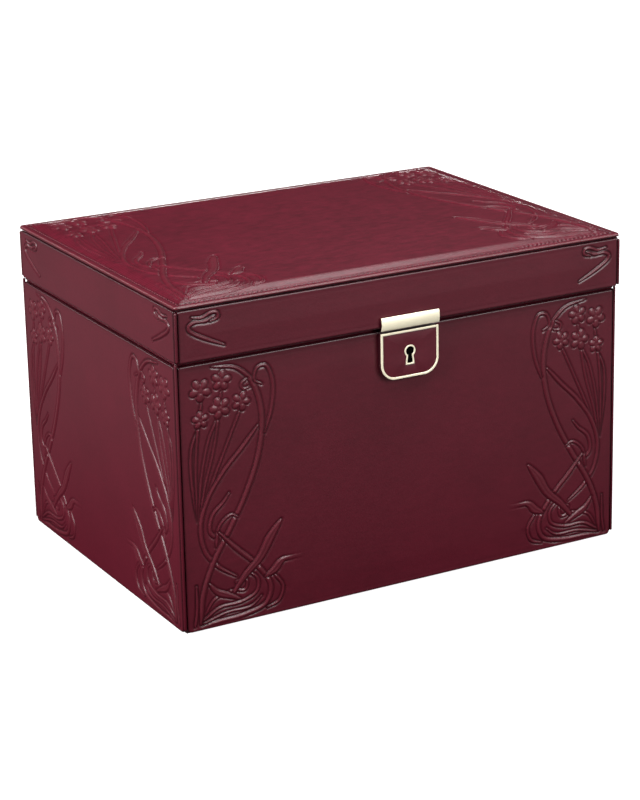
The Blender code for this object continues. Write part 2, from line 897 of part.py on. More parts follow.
def build_ring_cushion(tray, bay, front):
    """One foam cushion of soft rolls side by side: rings are pushed down between them."""
    top = tray_floor_top + RING_CUSHION_HEIGHT
    roll_z = top - RING_ROLL_RADIUS
    valley = 20  # degrees above the horizontal at which one roll meets the next
    radius = RING_ROLL_RADIUS / math.cos(math.radians(valley))
    outline = [(front, tray_floor_top)]
    for roll in range(RING_ROLLS):
        centre = front + RING_ROLL_RADIUS * (2 * roll + 1)
        points = arc((centre, roll_z), radius, 180 - valley, valley, 8)
        outline += points if roll == 0 else points[1:]
    outline.append((front + 2 * RING_ROLLS * RING_ROLL_RADIUS, tray_floor_top))
    prism("ring_cushion", outline, bay[0] + GAP, bay[1] - GAP, "X", SUEDE_FINISH, tray)


def build_tray_pulls(tray):
    """Leather tabs inside the end walls, by which the tray is lifted."""
    face = tray_x - TRAY_WALL - GAP
    half = PULL_WIDTH / 2
    for side, name in ((-1, "tray_pull_left"), (1, "tray_pull_right")):
        near, far = sorted((side * face, side * (face - PULL_THICKNESS)))
        block(name, (near, -half, PULL_LOW), (far, half, PULL_HIGH), LEATHER_FINISH, tray)


# ---------------------------------------------------------------- assembly

lid_pivot = pivot("lid_pivot", hinge_axis)
tray_pivot = pivot("tray_lift", tray_centre)
cam_pivot = pivot("lock_turn", lock_centre)
bolt_pivot = pivot("bolt_slide", lock_centre)

build_case_boards()
build_case_leather()
build_case_lining()
build_compartments()
build_lock_plate()
build_lock_case()
build_lock_cam(cam_pivot)
build_lock_bolt(bolt_pivot)
build_hinges(lid_pivot)
build_lid_boards(lid_pivot)
build_lid_leather(lid_pivot)
build_lid_inside(lid_pivot)
build_strike(lid_pivot)
build_tray_box(tray_pivot)
build_tray_pulls(tray_pivot)
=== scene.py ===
"""The looks of a burgundy leather jewellery case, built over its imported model.

Leather panels with an embossed ornament, a padded and stitched lid, a pale gold bar and lock plate,
a suede lined inside with a lift-out tray, and a plain studio around it. Metres throughout.
"""

import json
import math

import bpy
import numpy as np
from mathutils import Matrix, Vector

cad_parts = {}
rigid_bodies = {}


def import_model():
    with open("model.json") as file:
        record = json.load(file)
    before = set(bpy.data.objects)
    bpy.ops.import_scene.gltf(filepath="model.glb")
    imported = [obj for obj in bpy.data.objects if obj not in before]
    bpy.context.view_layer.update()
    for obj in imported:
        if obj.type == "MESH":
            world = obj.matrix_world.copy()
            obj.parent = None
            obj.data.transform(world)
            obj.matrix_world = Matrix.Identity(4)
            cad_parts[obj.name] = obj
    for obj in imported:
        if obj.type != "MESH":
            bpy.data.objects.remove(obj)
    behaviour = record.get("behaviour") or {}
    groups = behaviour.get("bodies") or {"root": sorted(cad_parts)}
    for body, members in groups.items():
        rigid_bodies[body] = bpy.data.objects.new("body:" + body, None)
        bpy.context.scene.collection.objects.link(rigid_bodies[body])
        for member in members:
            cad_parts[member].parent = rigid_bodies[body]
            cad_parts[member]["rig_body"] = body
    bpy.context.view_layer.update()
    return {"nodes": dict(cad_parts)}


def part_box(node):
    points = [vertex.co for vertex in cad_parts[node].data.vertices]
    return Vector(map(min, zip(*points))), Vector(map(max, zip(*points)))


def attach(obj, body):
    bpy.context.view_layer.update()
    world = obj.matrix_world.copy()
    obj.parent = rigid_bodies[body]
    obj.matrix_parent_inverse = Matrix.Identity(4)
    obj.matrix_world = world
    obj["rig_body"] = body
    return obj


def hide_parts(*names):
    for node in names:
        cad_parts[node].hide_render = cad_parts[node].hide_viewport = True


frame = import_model()
MM = 0.001

# ---------------------------------------------------------------- boards and felt
# The case and lid are boxes of 7 mm fibreboard, glued and painted a dark wine colour so that no pale
# edge shows in the seams between the leather panels. A felt pad is glued under the base.


def new_finish(name):
    """An empty material: the material, its node tree and its Principled shader."""
    made = bpy.data.materials.new(name)
    made.use_nodes = True
    return made, made.node_tree, made.node_tree.nodes["Principled BSDF"]


def node(tree, kind, **settings):
    """One shader node. Settings name its properties, or its inputs as in_<name>."""
    made = tree.nodes.new(kind)
    for key, value in settings.items():
        if key.startswith("in_"):
            made.inputs[key[3:].replace("_", " ")].default_value = value
        else:
            setattr(made, key, value)
    return made


def scaled_place(tree, scale, stretch=(1, 1, 1)):
    """Object coordinates through a Mapping node, so that one unit is 1/scale metres."""
    place = node(tree, "ShaderNodeTexCoord")
    mapping = node(tree, "ShaderNodeMapping")
    mapping.inputs["Scale"].default_value = [scale * s for s in stretch]
    tree.links.new(place.outputs["Object"], mapping.inputs["Vector"])
    return mapping.outputs["Vector"]


def ramp(tree, source, low, high, colours):
    """A two-colour ramp over a grey source, from its value `low` to its value `high`."""
    made = node(tree, "ShaderNodeValToRGB")
    for stop, place, colour in zip(made.color_ramp.elements, (low, high), colours):
        stop.position = place
        stop.color = (*colour, 1)
    tree.links.new(source, made.inputs["Fac"])
    return made.outputs["Color"]


def bumped(tree, shader, height, strength, distance):
    """Feeds a height through a Bump node into the shader's normal."""
    bump = node(tree, "ShaderNodeBump", in_Strength=strength, in_Distance=distance)
    tree.links.new(height, bump.inputs["Height"])
    tree.links.new(bump.outputs["Normal"], shader.inputs["Normal"])


def fibre_finish(name, dark, light, roughness, grain, depth):
    """Pressed fibre: two tones of noise, with the same noise as a fine bump."""
    made, tree, shader = new_finish(name)
    place = scaled_place(tree, grain)
    fibres = node(tree, "ShaderNodeTexNoise", in_Scale=1.0, in_Detail=6.0, in_Roughness=0.7)
    tree.links.new(place, fibres.inputs["Vector"])
    tone = ramp(tree, fibres.outputs["Fac"], 0.35, 0.65, (dark, light))
    tree.links.new(tone, shader.inputs["Base Color"])
    shader.inputs["Roughness"].default_value = roughness
    bumped(tree, shader, fibres.outputs["Fac"], 0.5, depth)
    return made


DARK_WINE, LIGHT_WINE = (0.020, 0.004, 0.006), (0.040, 0.007, 0.011)
painted_board = fibre_finish("painted_board", DARK_WINE, LIGHT_WINE, 0.7, 900, 0.0001)
DARK_FELT, LIGHT_FELT = (0.030, 0.006, 0.010), (0.075, 0.018, 0.026)
pressed_felt = fibre_finish("pressed_felt", DARK_FELT, LIGHT_FELT, 0.95, 1600, 0.0002)


def refinish(finish, *names):
    """Gives CAD nodes that stay as they are a finished material."""
    for name in names:
        mesh = frame["nodes"][name].data
        mesh.materials.clear()
        mesh.materials.append(finish)


refinish(painted_board, "front_board", "back_board", "left_board", "right_board")
refinish(painted_board, "base_board", "lid_top_board")
refinish(pressed_felt, "base_felt")

# ---------------------------------------------------------------- leather
# Bonded burgundy leather, fine in grain and semi-glossy. Pressing the ornament closes the grain, and
# its grooves are darkened partly for the pressing and partly as painted shade; the sunk stitch line and
# the folded edges of the case panels and lid skirts are darkened as painted shade. Pressed grooves, the
# stitch line and those folded edges are a little glossier. The raised ornament is lightened partly as
# wear and partly as a painted highlight, and the lid top's folded lip is lightened as a painted highlight.


def group_tree(name, inputs, outputs):
    """An empty shader node group with float or colour sockets: (name, kind, default)."""
    tree = bpy.data.node_groups.new(name, "ShaderNodeTree")
    for label, kind, value in inputs:
        socket = tree.interface.new_socket(label, in_out="INPUT", socket_type="NodeSocket" + kind)
        socket.default_value = value
    for label, kind in outputs:
        tree.interface.new_socket(label, in_out="OUTPUT", socket_type="NodeSocket" + kind)
    return tree, tree.nodes.new("NodeGroupInput"), tree.nodes.new("NodeGroupOutput")


def sums(tree, operation, first, second, clamp=False):
    """A Math node on two sockets or numbers."""
    made = node(tree, "ShaderNodeMath", operation=operation, use_clamp=clamp)
    for slot, value in zip(made.inputs, (first, second)):
        if isinstance(value, (int, float)):
            slot.default_value = value
        else:
            tree.links.new(value, slot)
    return made.outputs[0]


def mixed(tree, amount, first, second, blend="MIX"):
    """A colour Mix node. Colours may be sockets or three numbers."""
    made = node(tree, "ShaderNodeMix", data_type="RGBA", blend_type=blend)
    for label, value in (("Factor_Float", amount), ("A_Color", first), ("B_Color", second)):
        slot = next(s for s in made.inputs if s.identifier == label)
        if isinstance(value, (int, float)):
            slot.default_value = value
        elif isinstance(value, tuple):
            slot.default_value = (*value, 1)
        else:
            tree.links.new(value, slot)
    return next(s for s in made.outputs if s.identifier == "Result_Color")


def swing(tree, grey, amount):
    """A grey between 0 and 1 turned into a swing about 0: (grey - 0.5) times the amount."""
    return sums(tree, "MULTIPLY", sums(tree, "SUBTRACT", grey, 0.5), amount)


def build_hide_group():
    """Grain, tone, pressing with painted shade, and wear with a painted highlight. Pebbles are Voronoi
    cells about 0.7 mm across, broken up by noise; tone is slow noise and short streaks along X. Two of
    the piece's own attributes mark the colour: one darkens it for pressing and as painted shade, the
    other lightens it towards pale pink for wear and as a painted highlight."""
    tree, given, out = group_tree(
        "hide",
        [
            ("Place", "Vector", (0, 0, 0)),
            ("Press_and_shade", "Float", 0.0),
            ("Wear_and_highlight", "Float", 0.0),
            ("Colour", "Color", (0.1, 0.01, 0.02, 1)),
            ("Gloss", "Float", 0.4),
            ("Streaks", "Float", 0.35),
        ],
        [("Colour", "Color"), ("Roughness", "Float"), ("Height", "Float")],
    )
    place = given.outputs["Place"]
    tone = node(tree, "ShaderNodeTexNoise", in_Scale=22.0, in_Detail=4.0, in_Roughness=0.6)
    fine = node(tree, "ShaderNodeTexNoise", in_Scale=1400.0, in_Detail=5.0, in_Roughness=0.65)
    pebble = node(tree, "ShaderNodeTexVoronoi", in_Scale=1300.0)
    for texture in (tone, fine, pebble):
        tree.links.new(place, texture.inputs["Vector"])
    streak = node(tree, "ShaderNodeTexNoise", in_Scale=420.0, in_Detail=4.0, in_Roughness=0.6)
    streak.inputs["Distortion"].default_value = 0.6
    drawn = node(tree, "ShaderNodeVectorMath", operation="MULTIPLY")
    drawn.inputs[1].default_value = (0.3, 1, 1)
    tree.links.new(place, drawn.inputs[0])
    tree.links.new(drawn.outputs["Vector"], streak.inputs["Vector"])
    press_and_shade, wear_and_highlight = given.outputs["Press_and_shade"], given.outputs["Wear_and_highlight"]
    open_grain = sums(tree, "SUBTRACT", 1.0, sums(tree, "MULTIPLY", press_and_shade, 0.7), clamp=True)
    cells = sums(tree, "MULTIPLY", sums(tree, "SUBTRACT", 0.6, pebble.outputs["Distance"]), open_grain)
    pores = sums(tree, "MULTIPLY", fine.outputs["Fac"], 0.5)
    height = sums(tree, "ADD", sums(tree, "MULTIPLY", cells, 0.6), pores)
    shade = sums(tree, "ADD", swing(tree, tone.outputs["Fac"], 0.42), 1.0)
    shade = sums(tree, "ADD", shade, swing(tree, fine.outputs["Fac"], 0.35))
    shade = sums(tree, "ADD", shade, swing(tree, streak.outputs["Fac"], given.outputs["Streaks"]))
    # Painted shade: the press mark takes colour off in grooves, dips and along folded edges.
    shade = sums(tree, "SUBTRACT", shade, sums(tree, "MULTIPLY", press_and_shade, 0.62))
    scaled = node(tree, "ShaderNodeVectorMath", operation="SCALE")
    tree.links.new(given.outputs["Colour"], scaled.inputs["Vector"])
    tree.links.new(shade, scaled.inputs["Scale"])
    # Painted highlight: the wear mark lightens the colour towards pale pink, on the raised ornament partly as
    # wear, and on the lid top's folded lip.
    worn_and_highlit = mixed(tree, sums(tree, "MULTIPLY", wear_and_highlight, 0.5), scaled.outputs["Vector"], (0.30, 0.085, 0.09))
    tree.links.new(worn_and_highlit, out.inputs["Colour"])
    gloss = sums(tree, "ADD", given.outputs["Gloss"], swing(tree, fine.outputs["Fac"], 0.22))
    gloss = sums(tree, "SUBTRACT", gloss, sums(tree, "MULTIPLY", press_and_shade, 0.06))
    tree.links.new(gloss, out.inputs["Roughness"])
    tree.links.new(height, out.inputs["Height"])
    return tree


hide_group = build_hide_group()


def leather_finish(name, colour, gloss, depth=0.00006, streaks=0.35):
    """Leather from the hide group, with the piece's press and wear attributes."""
    made, tree, shader = new_finish(name)
    hide = node(tree, "ShaderNodeGroup", node_tree=hide_group)
    tree.links.new(scaled_place(tree, 1.0), hide.inputs["Place"])
    for label in ("press_and_shade", "wear_and_highlight"):
        mark = node(tree, "ShaderNodeAttribute", attribute_name=label)
        tree.links.new(mark.outputs["Fac"], hide.inputs[label.capitalize()])
    hide.inputs["Colour"].default_value = (*colour, 1)
    hide.inputs["Gloss"].default_value = gloss
    hide.inputs["Streaks"].default_value = streaks
    tree.links.new(hide.outputs["Colour"], shader.inputs["Base Color"])
    tree.links.new(hide.outputs["Roughness"], shader.inputs["Roughness"])
    bumped(tree, shader, hide.outputs["Height"], 0.6, depth)
    shader.inputs["Specular IOR Level"].default_value = 0.5
    return made


burgundy = leather_finish("burgundy_leather", (0.080, 0.0050, 0.0130), 0.37)
piping = leather_finish("folded_leather", (0.068, 0.0043, 0.0110), 0.32)
creased = leather_finish("creased_leather", (0.080, 0.0050, 0.0130), 0.34, streaks=1.5)

# ---------------------------------------------------------------- embossed ornament
# A brass plate presses the same ornament into both ends of every panel: an arched stem, a spray of
# five-petal flowers, crossing tendrils, and leaves over a scrolled foot. Millimetres from the panel's
# side edge and down from its top.


def smooth_line(points, step=0.35):
    """A Catmull-Rom curve through the points: four neighbours weighted by cubic terms in t."""
    knots = np.array(points, float)
    ends = np.vstack([2 * knots[0] - knots[1], knots, 2 * knots[-1] - knots[-2]])
    spans = np.linalg.norm(np.diff(knots, axis=0), axis=1)
    counts = np.maximum(2, np.ceil(spans / step).astype(int))
    piece = np.repeat(np.arange(len(spans)), counts)
    t = np.concatenate([np.arange(n) / n for n in counts])[:, None]
    a, b, c, d = (ends[piece + k] for k in range(4))
    square, cube = 2 * a - 5 * b + 4 * c - d, 3 * b - a - 3 * c + d
    curve = 0.5 * (2 * b + (c - a) * t + square * t**2 + cube * t**3)
    return np.vstack([curve, knots[-1]])


def nearest(across, down, line):
    """Distance from each grid point to a line's samples, and how far along it (0 to 1) that is."""
    shape = np.broadcast(across, down).shape
    points = np.stack([np.broadcast_to(across, shape).ravel(), np.broadcast_to(down, shape).ravel()], 1)
    distance = np.full(len(points), 99.0)
    along = np.zeros(len(points))
    reach = 6.0
    near = np.all((points > line.min(0) - reach) & (points < line.max(0) + reach), axis=1)
    index = np.flatnonzero(near)
    for part in np.array_split(index, max(1, len(index) * len(line) // 4_000_000)):
        gap = ((points[part, None, :] - line[None, :, :]) ** 2).sum(2)
        best = gap.argmin(1)
        distance[part] = np.sqrt(gap[np.arange(len(part)), best])
        along[part] = best / (len(line) - 1)
    return distance.reshape(shape), along.reshape(shape)


def soft_step(value):
    """0 below 0, 1 above 1, and 3t^2 - 2t^3 between."""
    t = np.clip(value, 0, 1)
    return t * t * (3 - 2 * t)


def press_stem(field, across, down, points, half, raised=0.5, taper=(0.25, 0.25), vein=0.0):
    """A raised band of half-width `half` (mm) that narrows at its ends, with a groove on each flank,
    over whatever it crosses. A leaf is a short wide band with a vein."""
    line = smooth_line(points)
    distance, along = nearest(across, down, line)
    from_ends = np.minimum(along / max(taper[0], 1e-3), (1 - along) / max(taper[1], 1e-3))
    width = np.maximum(half * np.clip(from_ends, 0, 1) ** 0.6, 0.18)
    crown = np.sqrt(np.clip(1 - (distance / (width + 0.35)) ** 2, 0, 1))
    top = raised * crown - vein * np.exp(-((distance / 0.45) ** 2))
    groove = -GROOVE_DEPTH * np.exp(-(((distance - width - 0.55) / 0.5) ** 2))
    cover = 1 - soft_step((distance - width - 0.6) / 0.9)
    shoulder = soft_step((width + 0.35 - distance) / 0.35)
    return field * (1 - cover) + np.where(distance < width + 0.35, top * shoulder, 0) + groove


def press_flower(field, across, down, centre, radius, turn):
    """Five puffed petals: the outline is |cos 2.5 a|^0.55 in the angle a, each petal a low dome, with
    a button in the middle and a groove all round."""
    x, y = across - centre[0], down - centre[1]
    r, a = np.hypot(x, y), np.arctan2(y, x) - math.radians(turn)
    lobe = np.abs(np.cos(2.5 * a)) ** 0.55
    edge = radius * (0.30 + 0.70 * lobe)
    inside = np.clip(1 - (r / edge) ** 2.4, 0, 1)
    petal = 0.85 * np.sqrt(inside) * (0.25 + 0.75 * lobe) * soft_step(r / (0.45 * radius))
    button = 0.5 * np.sqrt(np.clip(1 - (r / (0.2 * radius)) ** 2, 0, 1))
    groove = -GROOVE_DEPTH * np.exp(-(((r - edge - 0.3) / 0.45) ** 2))
    cover = 1 - soft_step((r - edge - 0.3) / 0.8)
    return field * (1 - cover) + petal + button + groove


GROOVE_DEPTH = 0.5
FLOWER_STEM = 0.42  # half its width
FLOWERS = [  # centre, radius, turn in degrees
    ((12.5, 15), 6.6, 20),
    ((25.5, 11.5), 6.0, -8),
    ((24, 27), 6.4, 35),
    ((37, 25.5), 5.6, 5),
    ((12, 32), 5.0, 50),
]


def ornament(across, down):
    """The whole pressed column, in millimetres of height."""
    field = np.zeros(np.broadcast(across, down).shape)
    for points in (
        [(8, 88), (5.5, 66), (6, 48), (11, 36)],
        [(8.5, 90), (8, 66), (9.5, 44), (13, 22)],
        [(9, 90), (11, 68), (16, 46), (22.5, 32)],
        [(9.5, 91), (13, 72), (20, 48), (25, 18)],
        [(10, 92), (16, 74), (27, 50), (36, 31)],
    ):
        field = press_stem(field, across, down, points, FLOWER_STEM, 0.42, (0.1, 0.05))
    for centre, radius, turn in FLOWERS:
        field = press_flower(field, across, down, centre, radius, turn)
    bands = [  # half width, raised by, tapers, depth of the vein, then the points
        (0.85, 0.5, (0.1, 0.2), 0, [
            (47, 41), (37, 52), (25, 64), (15, 78), (10, 93), (12, 108), (20, 119), (31, 127),
        ]),
        (1.15, 0.62, (0.05, 0.2), 0, [
            (8, 151), (10, 134), (17, 116), (28, 98), (39, 78),
            (47, 57), (49.5, 36), (45, 17), (35, 6), (20, 2.8),
        ]),
        (0.7, 0.5, (0.15, 0.3), 0, [
            (51, 46), (55.5, 33), (57, 19), (53.5, 8), (47.5, 8), (45.5, 14.5), (50, 17.5),
        ]),
        (0.45, 0.45, (0.2, 0.3), 0, [(41, 13), (37.5, 15.5), (38.5, 18.5), (42.5, 18)]),
        (0.7, 0.5, (0.1, 0.35), 0, [(20, 103), (15.5, 97), (17.5, 88), (24, 82), (28, 77)]),
        (0.5, 0.45, (0.1, 0.3), 0, [(19, 107), (21, 96), (28, 90), (33, 92)]),
        (1.0, 0.55, (0.15, 0.1), 0, [
            (21, 99), (31, 110), (43, 122), (52, 136), (49, 147), (36, 151), (18, 152), (9, 153),
        ]),
        (0.6, 0.5, (0.1, 0.25), 0, [(10, 149), (20, 143.5), (33, 143), (43, 139), (44, 131), (37, 125)]),
        (0.45, 0.45, (0.1, 0.25), 0, [
            (11, 146), (17, 138), (28, 135), (36, 136), (37, 130), (31, 130), (31, 134),
        ]),
        (0.4, 0.42, (0.1, 0.2), 0, [(10, 151), (24, 147.5), (39, 147), (46.5, 142)]),
        (0.55, 0.5, (0.2, 0.1), 0, [(50, 150), (57.5, 147), (60, 139), (55, 131)]),
        (2.5, 0.62, (0.75, 0.25), 0.30, [(27, 139), (36, 128), (46, 119), (53, 108), (60, 99)]),
        (2.1, 0.6, (0.4, 0.5), 0.28, [(49, 131), (55, 128), (59, 124), (64, 122)]),
        (1.6, 0.55, (0.45, 0.5), 0.25, [(14, 128), (19, 134), (27, 138), (33, 141)]),
        (0.5, 0.45, (0.1, 0.4), 0, [(4.5, 152), (6, 142), (6.2, 128)]),
    ]
    for half, raised, taper, vein, points in bands:
        field = press_stem(field, across, down, points, half, raised, taper, vein)
    return field


def whiplash(across, down):
    """The small lashing tendril at each end of a lid skirt, in millimetres of height."""
    field = np.zeros(np.broadcast(across, down).shape)
    for points, half, taper in (
        ([(27, 22.5), (17, 18), (8, 13), (6, 9.5), (10, 7.3), (17, 7.4), (22.5, 5.5)], 0.75, (0.3, 0.05)),
        ([(8, 4.6), (14, 5.4), (19, 3.4), (23, 3.6), (23.4, 6.6), (19, 8.2)], 0.6, (0.3, 0.2)),
    ):
        field = press_stem(field, across, down, points, half, 0.5, taper)
    return field


# ---------------------------------------------------------------- case panels
# Each face is one panel of leather over thin card, folded round at its edges. Every panel stops short
# of its corners, and an upright welt stands in the dark groove left at each corner.

FOLD = 0.8  # radius of a folded edge, in millimetres
COLUMN = 62.0  # width of the pressed column


def spaced(stops, steps):
    """Node places between stops, each stretch divided evenly into about its own step."""
    parts = [
        np.linspace(a, b, max(1, round((b - a) / step)) + 1)[:-1]
        for a, b, step in zip(stops, stops[1:], steps)
    ]
    return np.append(np.concatenate(parts), stops[-1])


def grid_faces(rows, columns, wrap_rows=False, wrap_columns=False, first=0):
    """Quads over a grid of rows x columns vertices, optionally joined end to end."""
    i = np.arange(rows if wrap_rows else rows - 1)[:, None]
    j = np.arange(columns if wrap_columns else columns - 1)[None, :]
    i2, j2 = (i + 1) % rows, (j + 1) % columns
    quads = np.stack([i * columns + j, i * columns + j2, i2 * columns + j2, i2 * columns + j], -1)
    return quads.reshape(-1, 4) + first


def fan_faces(ring, hub):
    """Triangles from a closed ring of vertices to a hub vertex."""
    return np.stack([ring, np.roll(ring, -1), np.full(len(ring), hub)], 1)


def capped(rows, columns):
    """Faces of a closed tube: rings of vertices joined to each other, then a hub for each end."""
    ring, hubs = np.arange(columns), rows * columns
    tube = grid_faces(rows, columns, wrap_columns=True)
    return [tube, fan_faces(ring[::-1], hubs), fan_faces(ring + hubs - columns, hubs + 1)]


def enclosed(points, faces):
    """Signed volume inside the faces, as the sum of tetrahedra to the origin."""
    total = 0.0
    for group in faces:
        a = points[group[:, 0]]
        for k in range(1, group.shape[1] - 1):
            total += np.einsum("ij,ij->i", a, np.cross(points[group[:, k]], points[group[:, k + 1]])).sum()
    return total / 6


def put(name, points, faces, body, finish, stands_for=(), marks=None, smooth=True):
    """Makes a piece from arrays of points and faces, turned to face out, that rides on a body."""
    points = np.asarray(points, float).reshape(-1, 3)
    faces = [np.asarray(group, int) for group in faces]
    if enclosed(points - points.mean(0), faces) < 0:
        faces = [group[:, ::-1] for group in faces]
    mesh = bpy.data.meshes.new(name)
    mesh.vertices.add(len(points))
    mesh.vertices.foreach_set("co", points.ravel())
    corners = np.concatenate([group.ravel() for group in faces])
    sizes = np.concatenate([np.full(len(group), group.shape[1]) for group in faces])
    mesh.loops.add(len(corners))
    mesh.loops.foreach_set("vertex_index", corners)
    mesh.polygons.add(len(sizes))
    mesh.polygons.foreach_set("loop_start", np.concatenate([[0], np.cumsum(sizes)[:-1]]))
    mesh.polygons.foreach_set("use_smooth", np.full(len(sizes), smooth))
    for label, values in (marks or {}).items():
        mark = mesh.attributes.new(label, "FLOAT", "POINT")
        mark.data.foreach_set("value", np.asarray(values, np.float32).ravel())
    mesh.update()
    mesh.validate()
    mesh.materials.append(finish)
    made = bpy.data.objects.new(name, mesh)
    bpy.context.scene.collection.objects.link(made)
    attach(made, body)
    if stands_for:
        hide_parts(*stands_for)
    return made


def rounded_corner(across, down, width, height, radii):
    """Rounds the grid's corners (top left, top right, bottom left, bottom right): inside each corner
    square, a point at (a, b) from the square's inner corner moves to (a, b) max(a, b) / |(a, b)|."""
    for radius, from_right, from_bottom in zip(radii, (0, 1, 0, 1), (0, 0, 1, 1)):
        if radius <= 0:
            continue
        x = width - across if from_right else across
        y = height - down if from_bottom else down
        a, b = np.clip((radius - x) / radius, 0, 1), np.clip((radius - y) / radius, 0, 1)
        both = (a > 0) & (b > 0)
        share = np.where(both, np.maximum(a, b) / np.maximum(np.hypot(a, b), 1e-9), 1)
        x = np.where(both, radius - radius * a * share, x)
        y = np.where(both, radius - radius * b * share, y)
        across = width - x if from_right else x
        down = height - y if from_bottom else y
    return across, down


def leather_panel(
    name,
    body,
    corner,
    axes,
    size,
    nodes,
    column,
    height,
    radii,
    stands_for=(),
    fold=FOLD,
    edge=1.0,
    finish=burgundy,
):
    """A panel as a height field. `corner` is its top left back corner, `axes` its directions right,
    down and out in the row frame, `size` its width, height and thickness (mm). The edge falls away
    as a quarter circle of radius `fold`; `edge` darkens it as painted shade, and where `edge` is below
    1 the edge is lightened as a painted highlight instead; `height` adds the padding, and `column` is
    the pressing at both ends."""
    width, tall, thick = size
    x, y = np.meshgrid(*nodes, indexing="ij")
    inset = np.minimum.reduce([x, width - x, y, tall - y])
    fall = fold - np.sqrt(np.clip(fold**2 - (fold - np.minimum(inset, fold)) ** 2, 0, None))
    n = len(column)
    pressed = np.zeros_like(x)
    pressed[:n] += column
    pressed[-n:] += column[::-1]
    pressed *= soft_step((inset - 1.4) / 1.6)
    pressed = np.where(pressed > 0, 0.78 * pressed, pressed)
    rise = thick - fall + height(x, y, inset) + pressed
    px, py = rounded_corner(x, y, width, tall, radii)

    def place(*amounts):
        return np.array(corner) + np.stack(np.broadcast_arrays(*amounts), -1) @ np.array(axes, float) * MM

    rows, columns = x.shape
    index = np.arange(rows * columns).reshape(rows, columns)
    rim = np.concatenate([index[:, 0], index[-1, 1:], index[-2::-1, -1], index[0, -2:0:-1]])
    back = place(px.ravel()[rim], py.ravel()[rim], np.zeros(len(rim)))
    hub = place(np.array([width / 2]), np.array([tall / 2]), np.zeros(1))
    points = np.vstack([place(px, py, rise).reshape(-1, 3), back, hub])
    ring = np.arange(len(rim)) + rows * columns
    walls = np.stack([rim, np.roll(rim, -1), np.roll(ring, -1), ring], 1)
    # Painted shade: the first mark darkens the colour where the leather is sunk, in the pressed grooves
    # (partly the pressing itself) and at the stitch dip, and along the folded edge by `edge`. The second mark
    # lightens the raised ornament, partly as wear and partly as a painted highlight, and where `edge` is
    # below 1 it lightens the folded edge as a painted highlight.
    sunk_and_edge_shade = -(pressed + height(x, y, inset)) / GROOVE_DEPTH + edge * np.exp(-((inset / 0.8) ** 2))
    press_and_shade = np.clip(sunk_and_edge_shade, 0, 1).ravel()
    wear_and_highlight = 0.25 * ((1 - edge) * np.exp(-((inset / 0.9) ** 2)) + 0.8 * np.clip(pressed, 0, 1)).ravel()
    tail = np.zeros(len(rim) + 1)
    return put(
        name,
        points,
        [grid_faces(rows, columns), walls, fan_faces(ring, len(points) - 1)],
        body,
        finish,
        stands_for,
        {"press_and_shade": np.append(press_and_shade, tail), "wear_and_highlight": np.append(wear_and_highlight, tail)},
    )


WELT = 0.8  # radius of the leather welt that runs up each corner
WELT_GAP = 0.5
SIDES = {  # direction across each face, and out of it
    "front": ((1, 0, 0), (0, -1, 0)),
    "back": ((-1, 0, 0), (0, 1, 0)),
    "left": ((0, -1, 0), (-1, 0, 0)),
    "right": ((0, 1, 0), (1, 0, 0)),
}


def around(prefix):
    """The outer box of the four leather panels of the case or lid, in the row frame."""
    boxes = [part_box(f"{prefix}{face}_leather") for face in SIDES]
    return np.min([b[0] for b in boxes], 0), np.max([b[1] for b in boxes], 0)


def face_place(prefix, face):
    """A face's top left back corner, and its size in mm, between the welts."""
    low, high = around(prefix)
    right, out = (np.array(v) for v in SIDES[face])
    panel_low, panel_high = (np.array(v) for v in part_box(f"{prefix}{face}_leather"))
    thick = abs((panel_high - panel_low) @ out)
    start = np.where(right > 0, low, high)
    surface = np.where(out > 0, high, low)
    corner = np.where(np.abs(right) > 0, start, surface) - out * thick
    corner[2] = panel_high[2]
    margin = (2 * WELT + WELT_GAP) * MM
    corner = corner + right * margin
    width = abs((high - low) @ right) - 2 * margin
    return corner, (width / MM, (panel_high[2] - panel_low[2]) / MM, thick / MM)


def corner_welts(prefix, body, finish, start, past):
    """Four upright welts: a circle of radius WELT carried from `start` above the bottom to `past` the
    top, drawn in at its ends as a quarter circle."""
    low, high = around(prefix)
    turn = np.linspace(0, 2 * math.pi, 25)[:-1]
    lean = np.linspace(0, math.pi / 2, 6)
    tall = (high[2] - low[2]) / MM + past
    heights = np.concatenate([start + WELT * (1 - np.cos(lean)), tall - WELT * (1 - np.cos(lean[::-1]))])
    radii = np.concatenate([WELT * np.sin(lean), WELT * np.sin(lean[::-1])])
    radii = np.maximum(radii, 0.02)
    for x_side, x_word in ((-1, "left"), (1, "right")):
        for y_side, y_word in ((-1, "front"), (1, "back")):
            middle_x = (low[0] if x_side < 0 else high[0]) - x_side * WELT * MM
            middle_y = (low[1] if y_side < 0 else high[1]) - y_side * WELT * MM
            points = np.stack(
                [
                    middle_x + MM * radii[:, None] * np.cos(turn),
                    middle_y + MM * radii[:, None] * np.sin(turn),
                    np.broadcast_to(low[2] + MM * heights[:, None], (len(heights), len(turn))),
                ],
                -1,
            ).reshape(-1, 3)
            ends = [[middle_x, middle_y, low[2] + start * MM], [middle_x, middle_y, high[2] + past * MM]]
            points = np.vstack([points, ends])
            faces = capped(len(heights), len(turn))
            put(f"{prefix}welt_{y_word}_{x_word}", points, faces, body, finish)


def fold_swell(x, y, inset):
    """A thin foam under the leather lifts it a little, inside a faint dip along the folded edge."""
    return -0.04 * np.exp(-(((inset - 2.6) / 0.8) ** 2)) + 0.2 * soft_step((inset - 3.5) / 14)


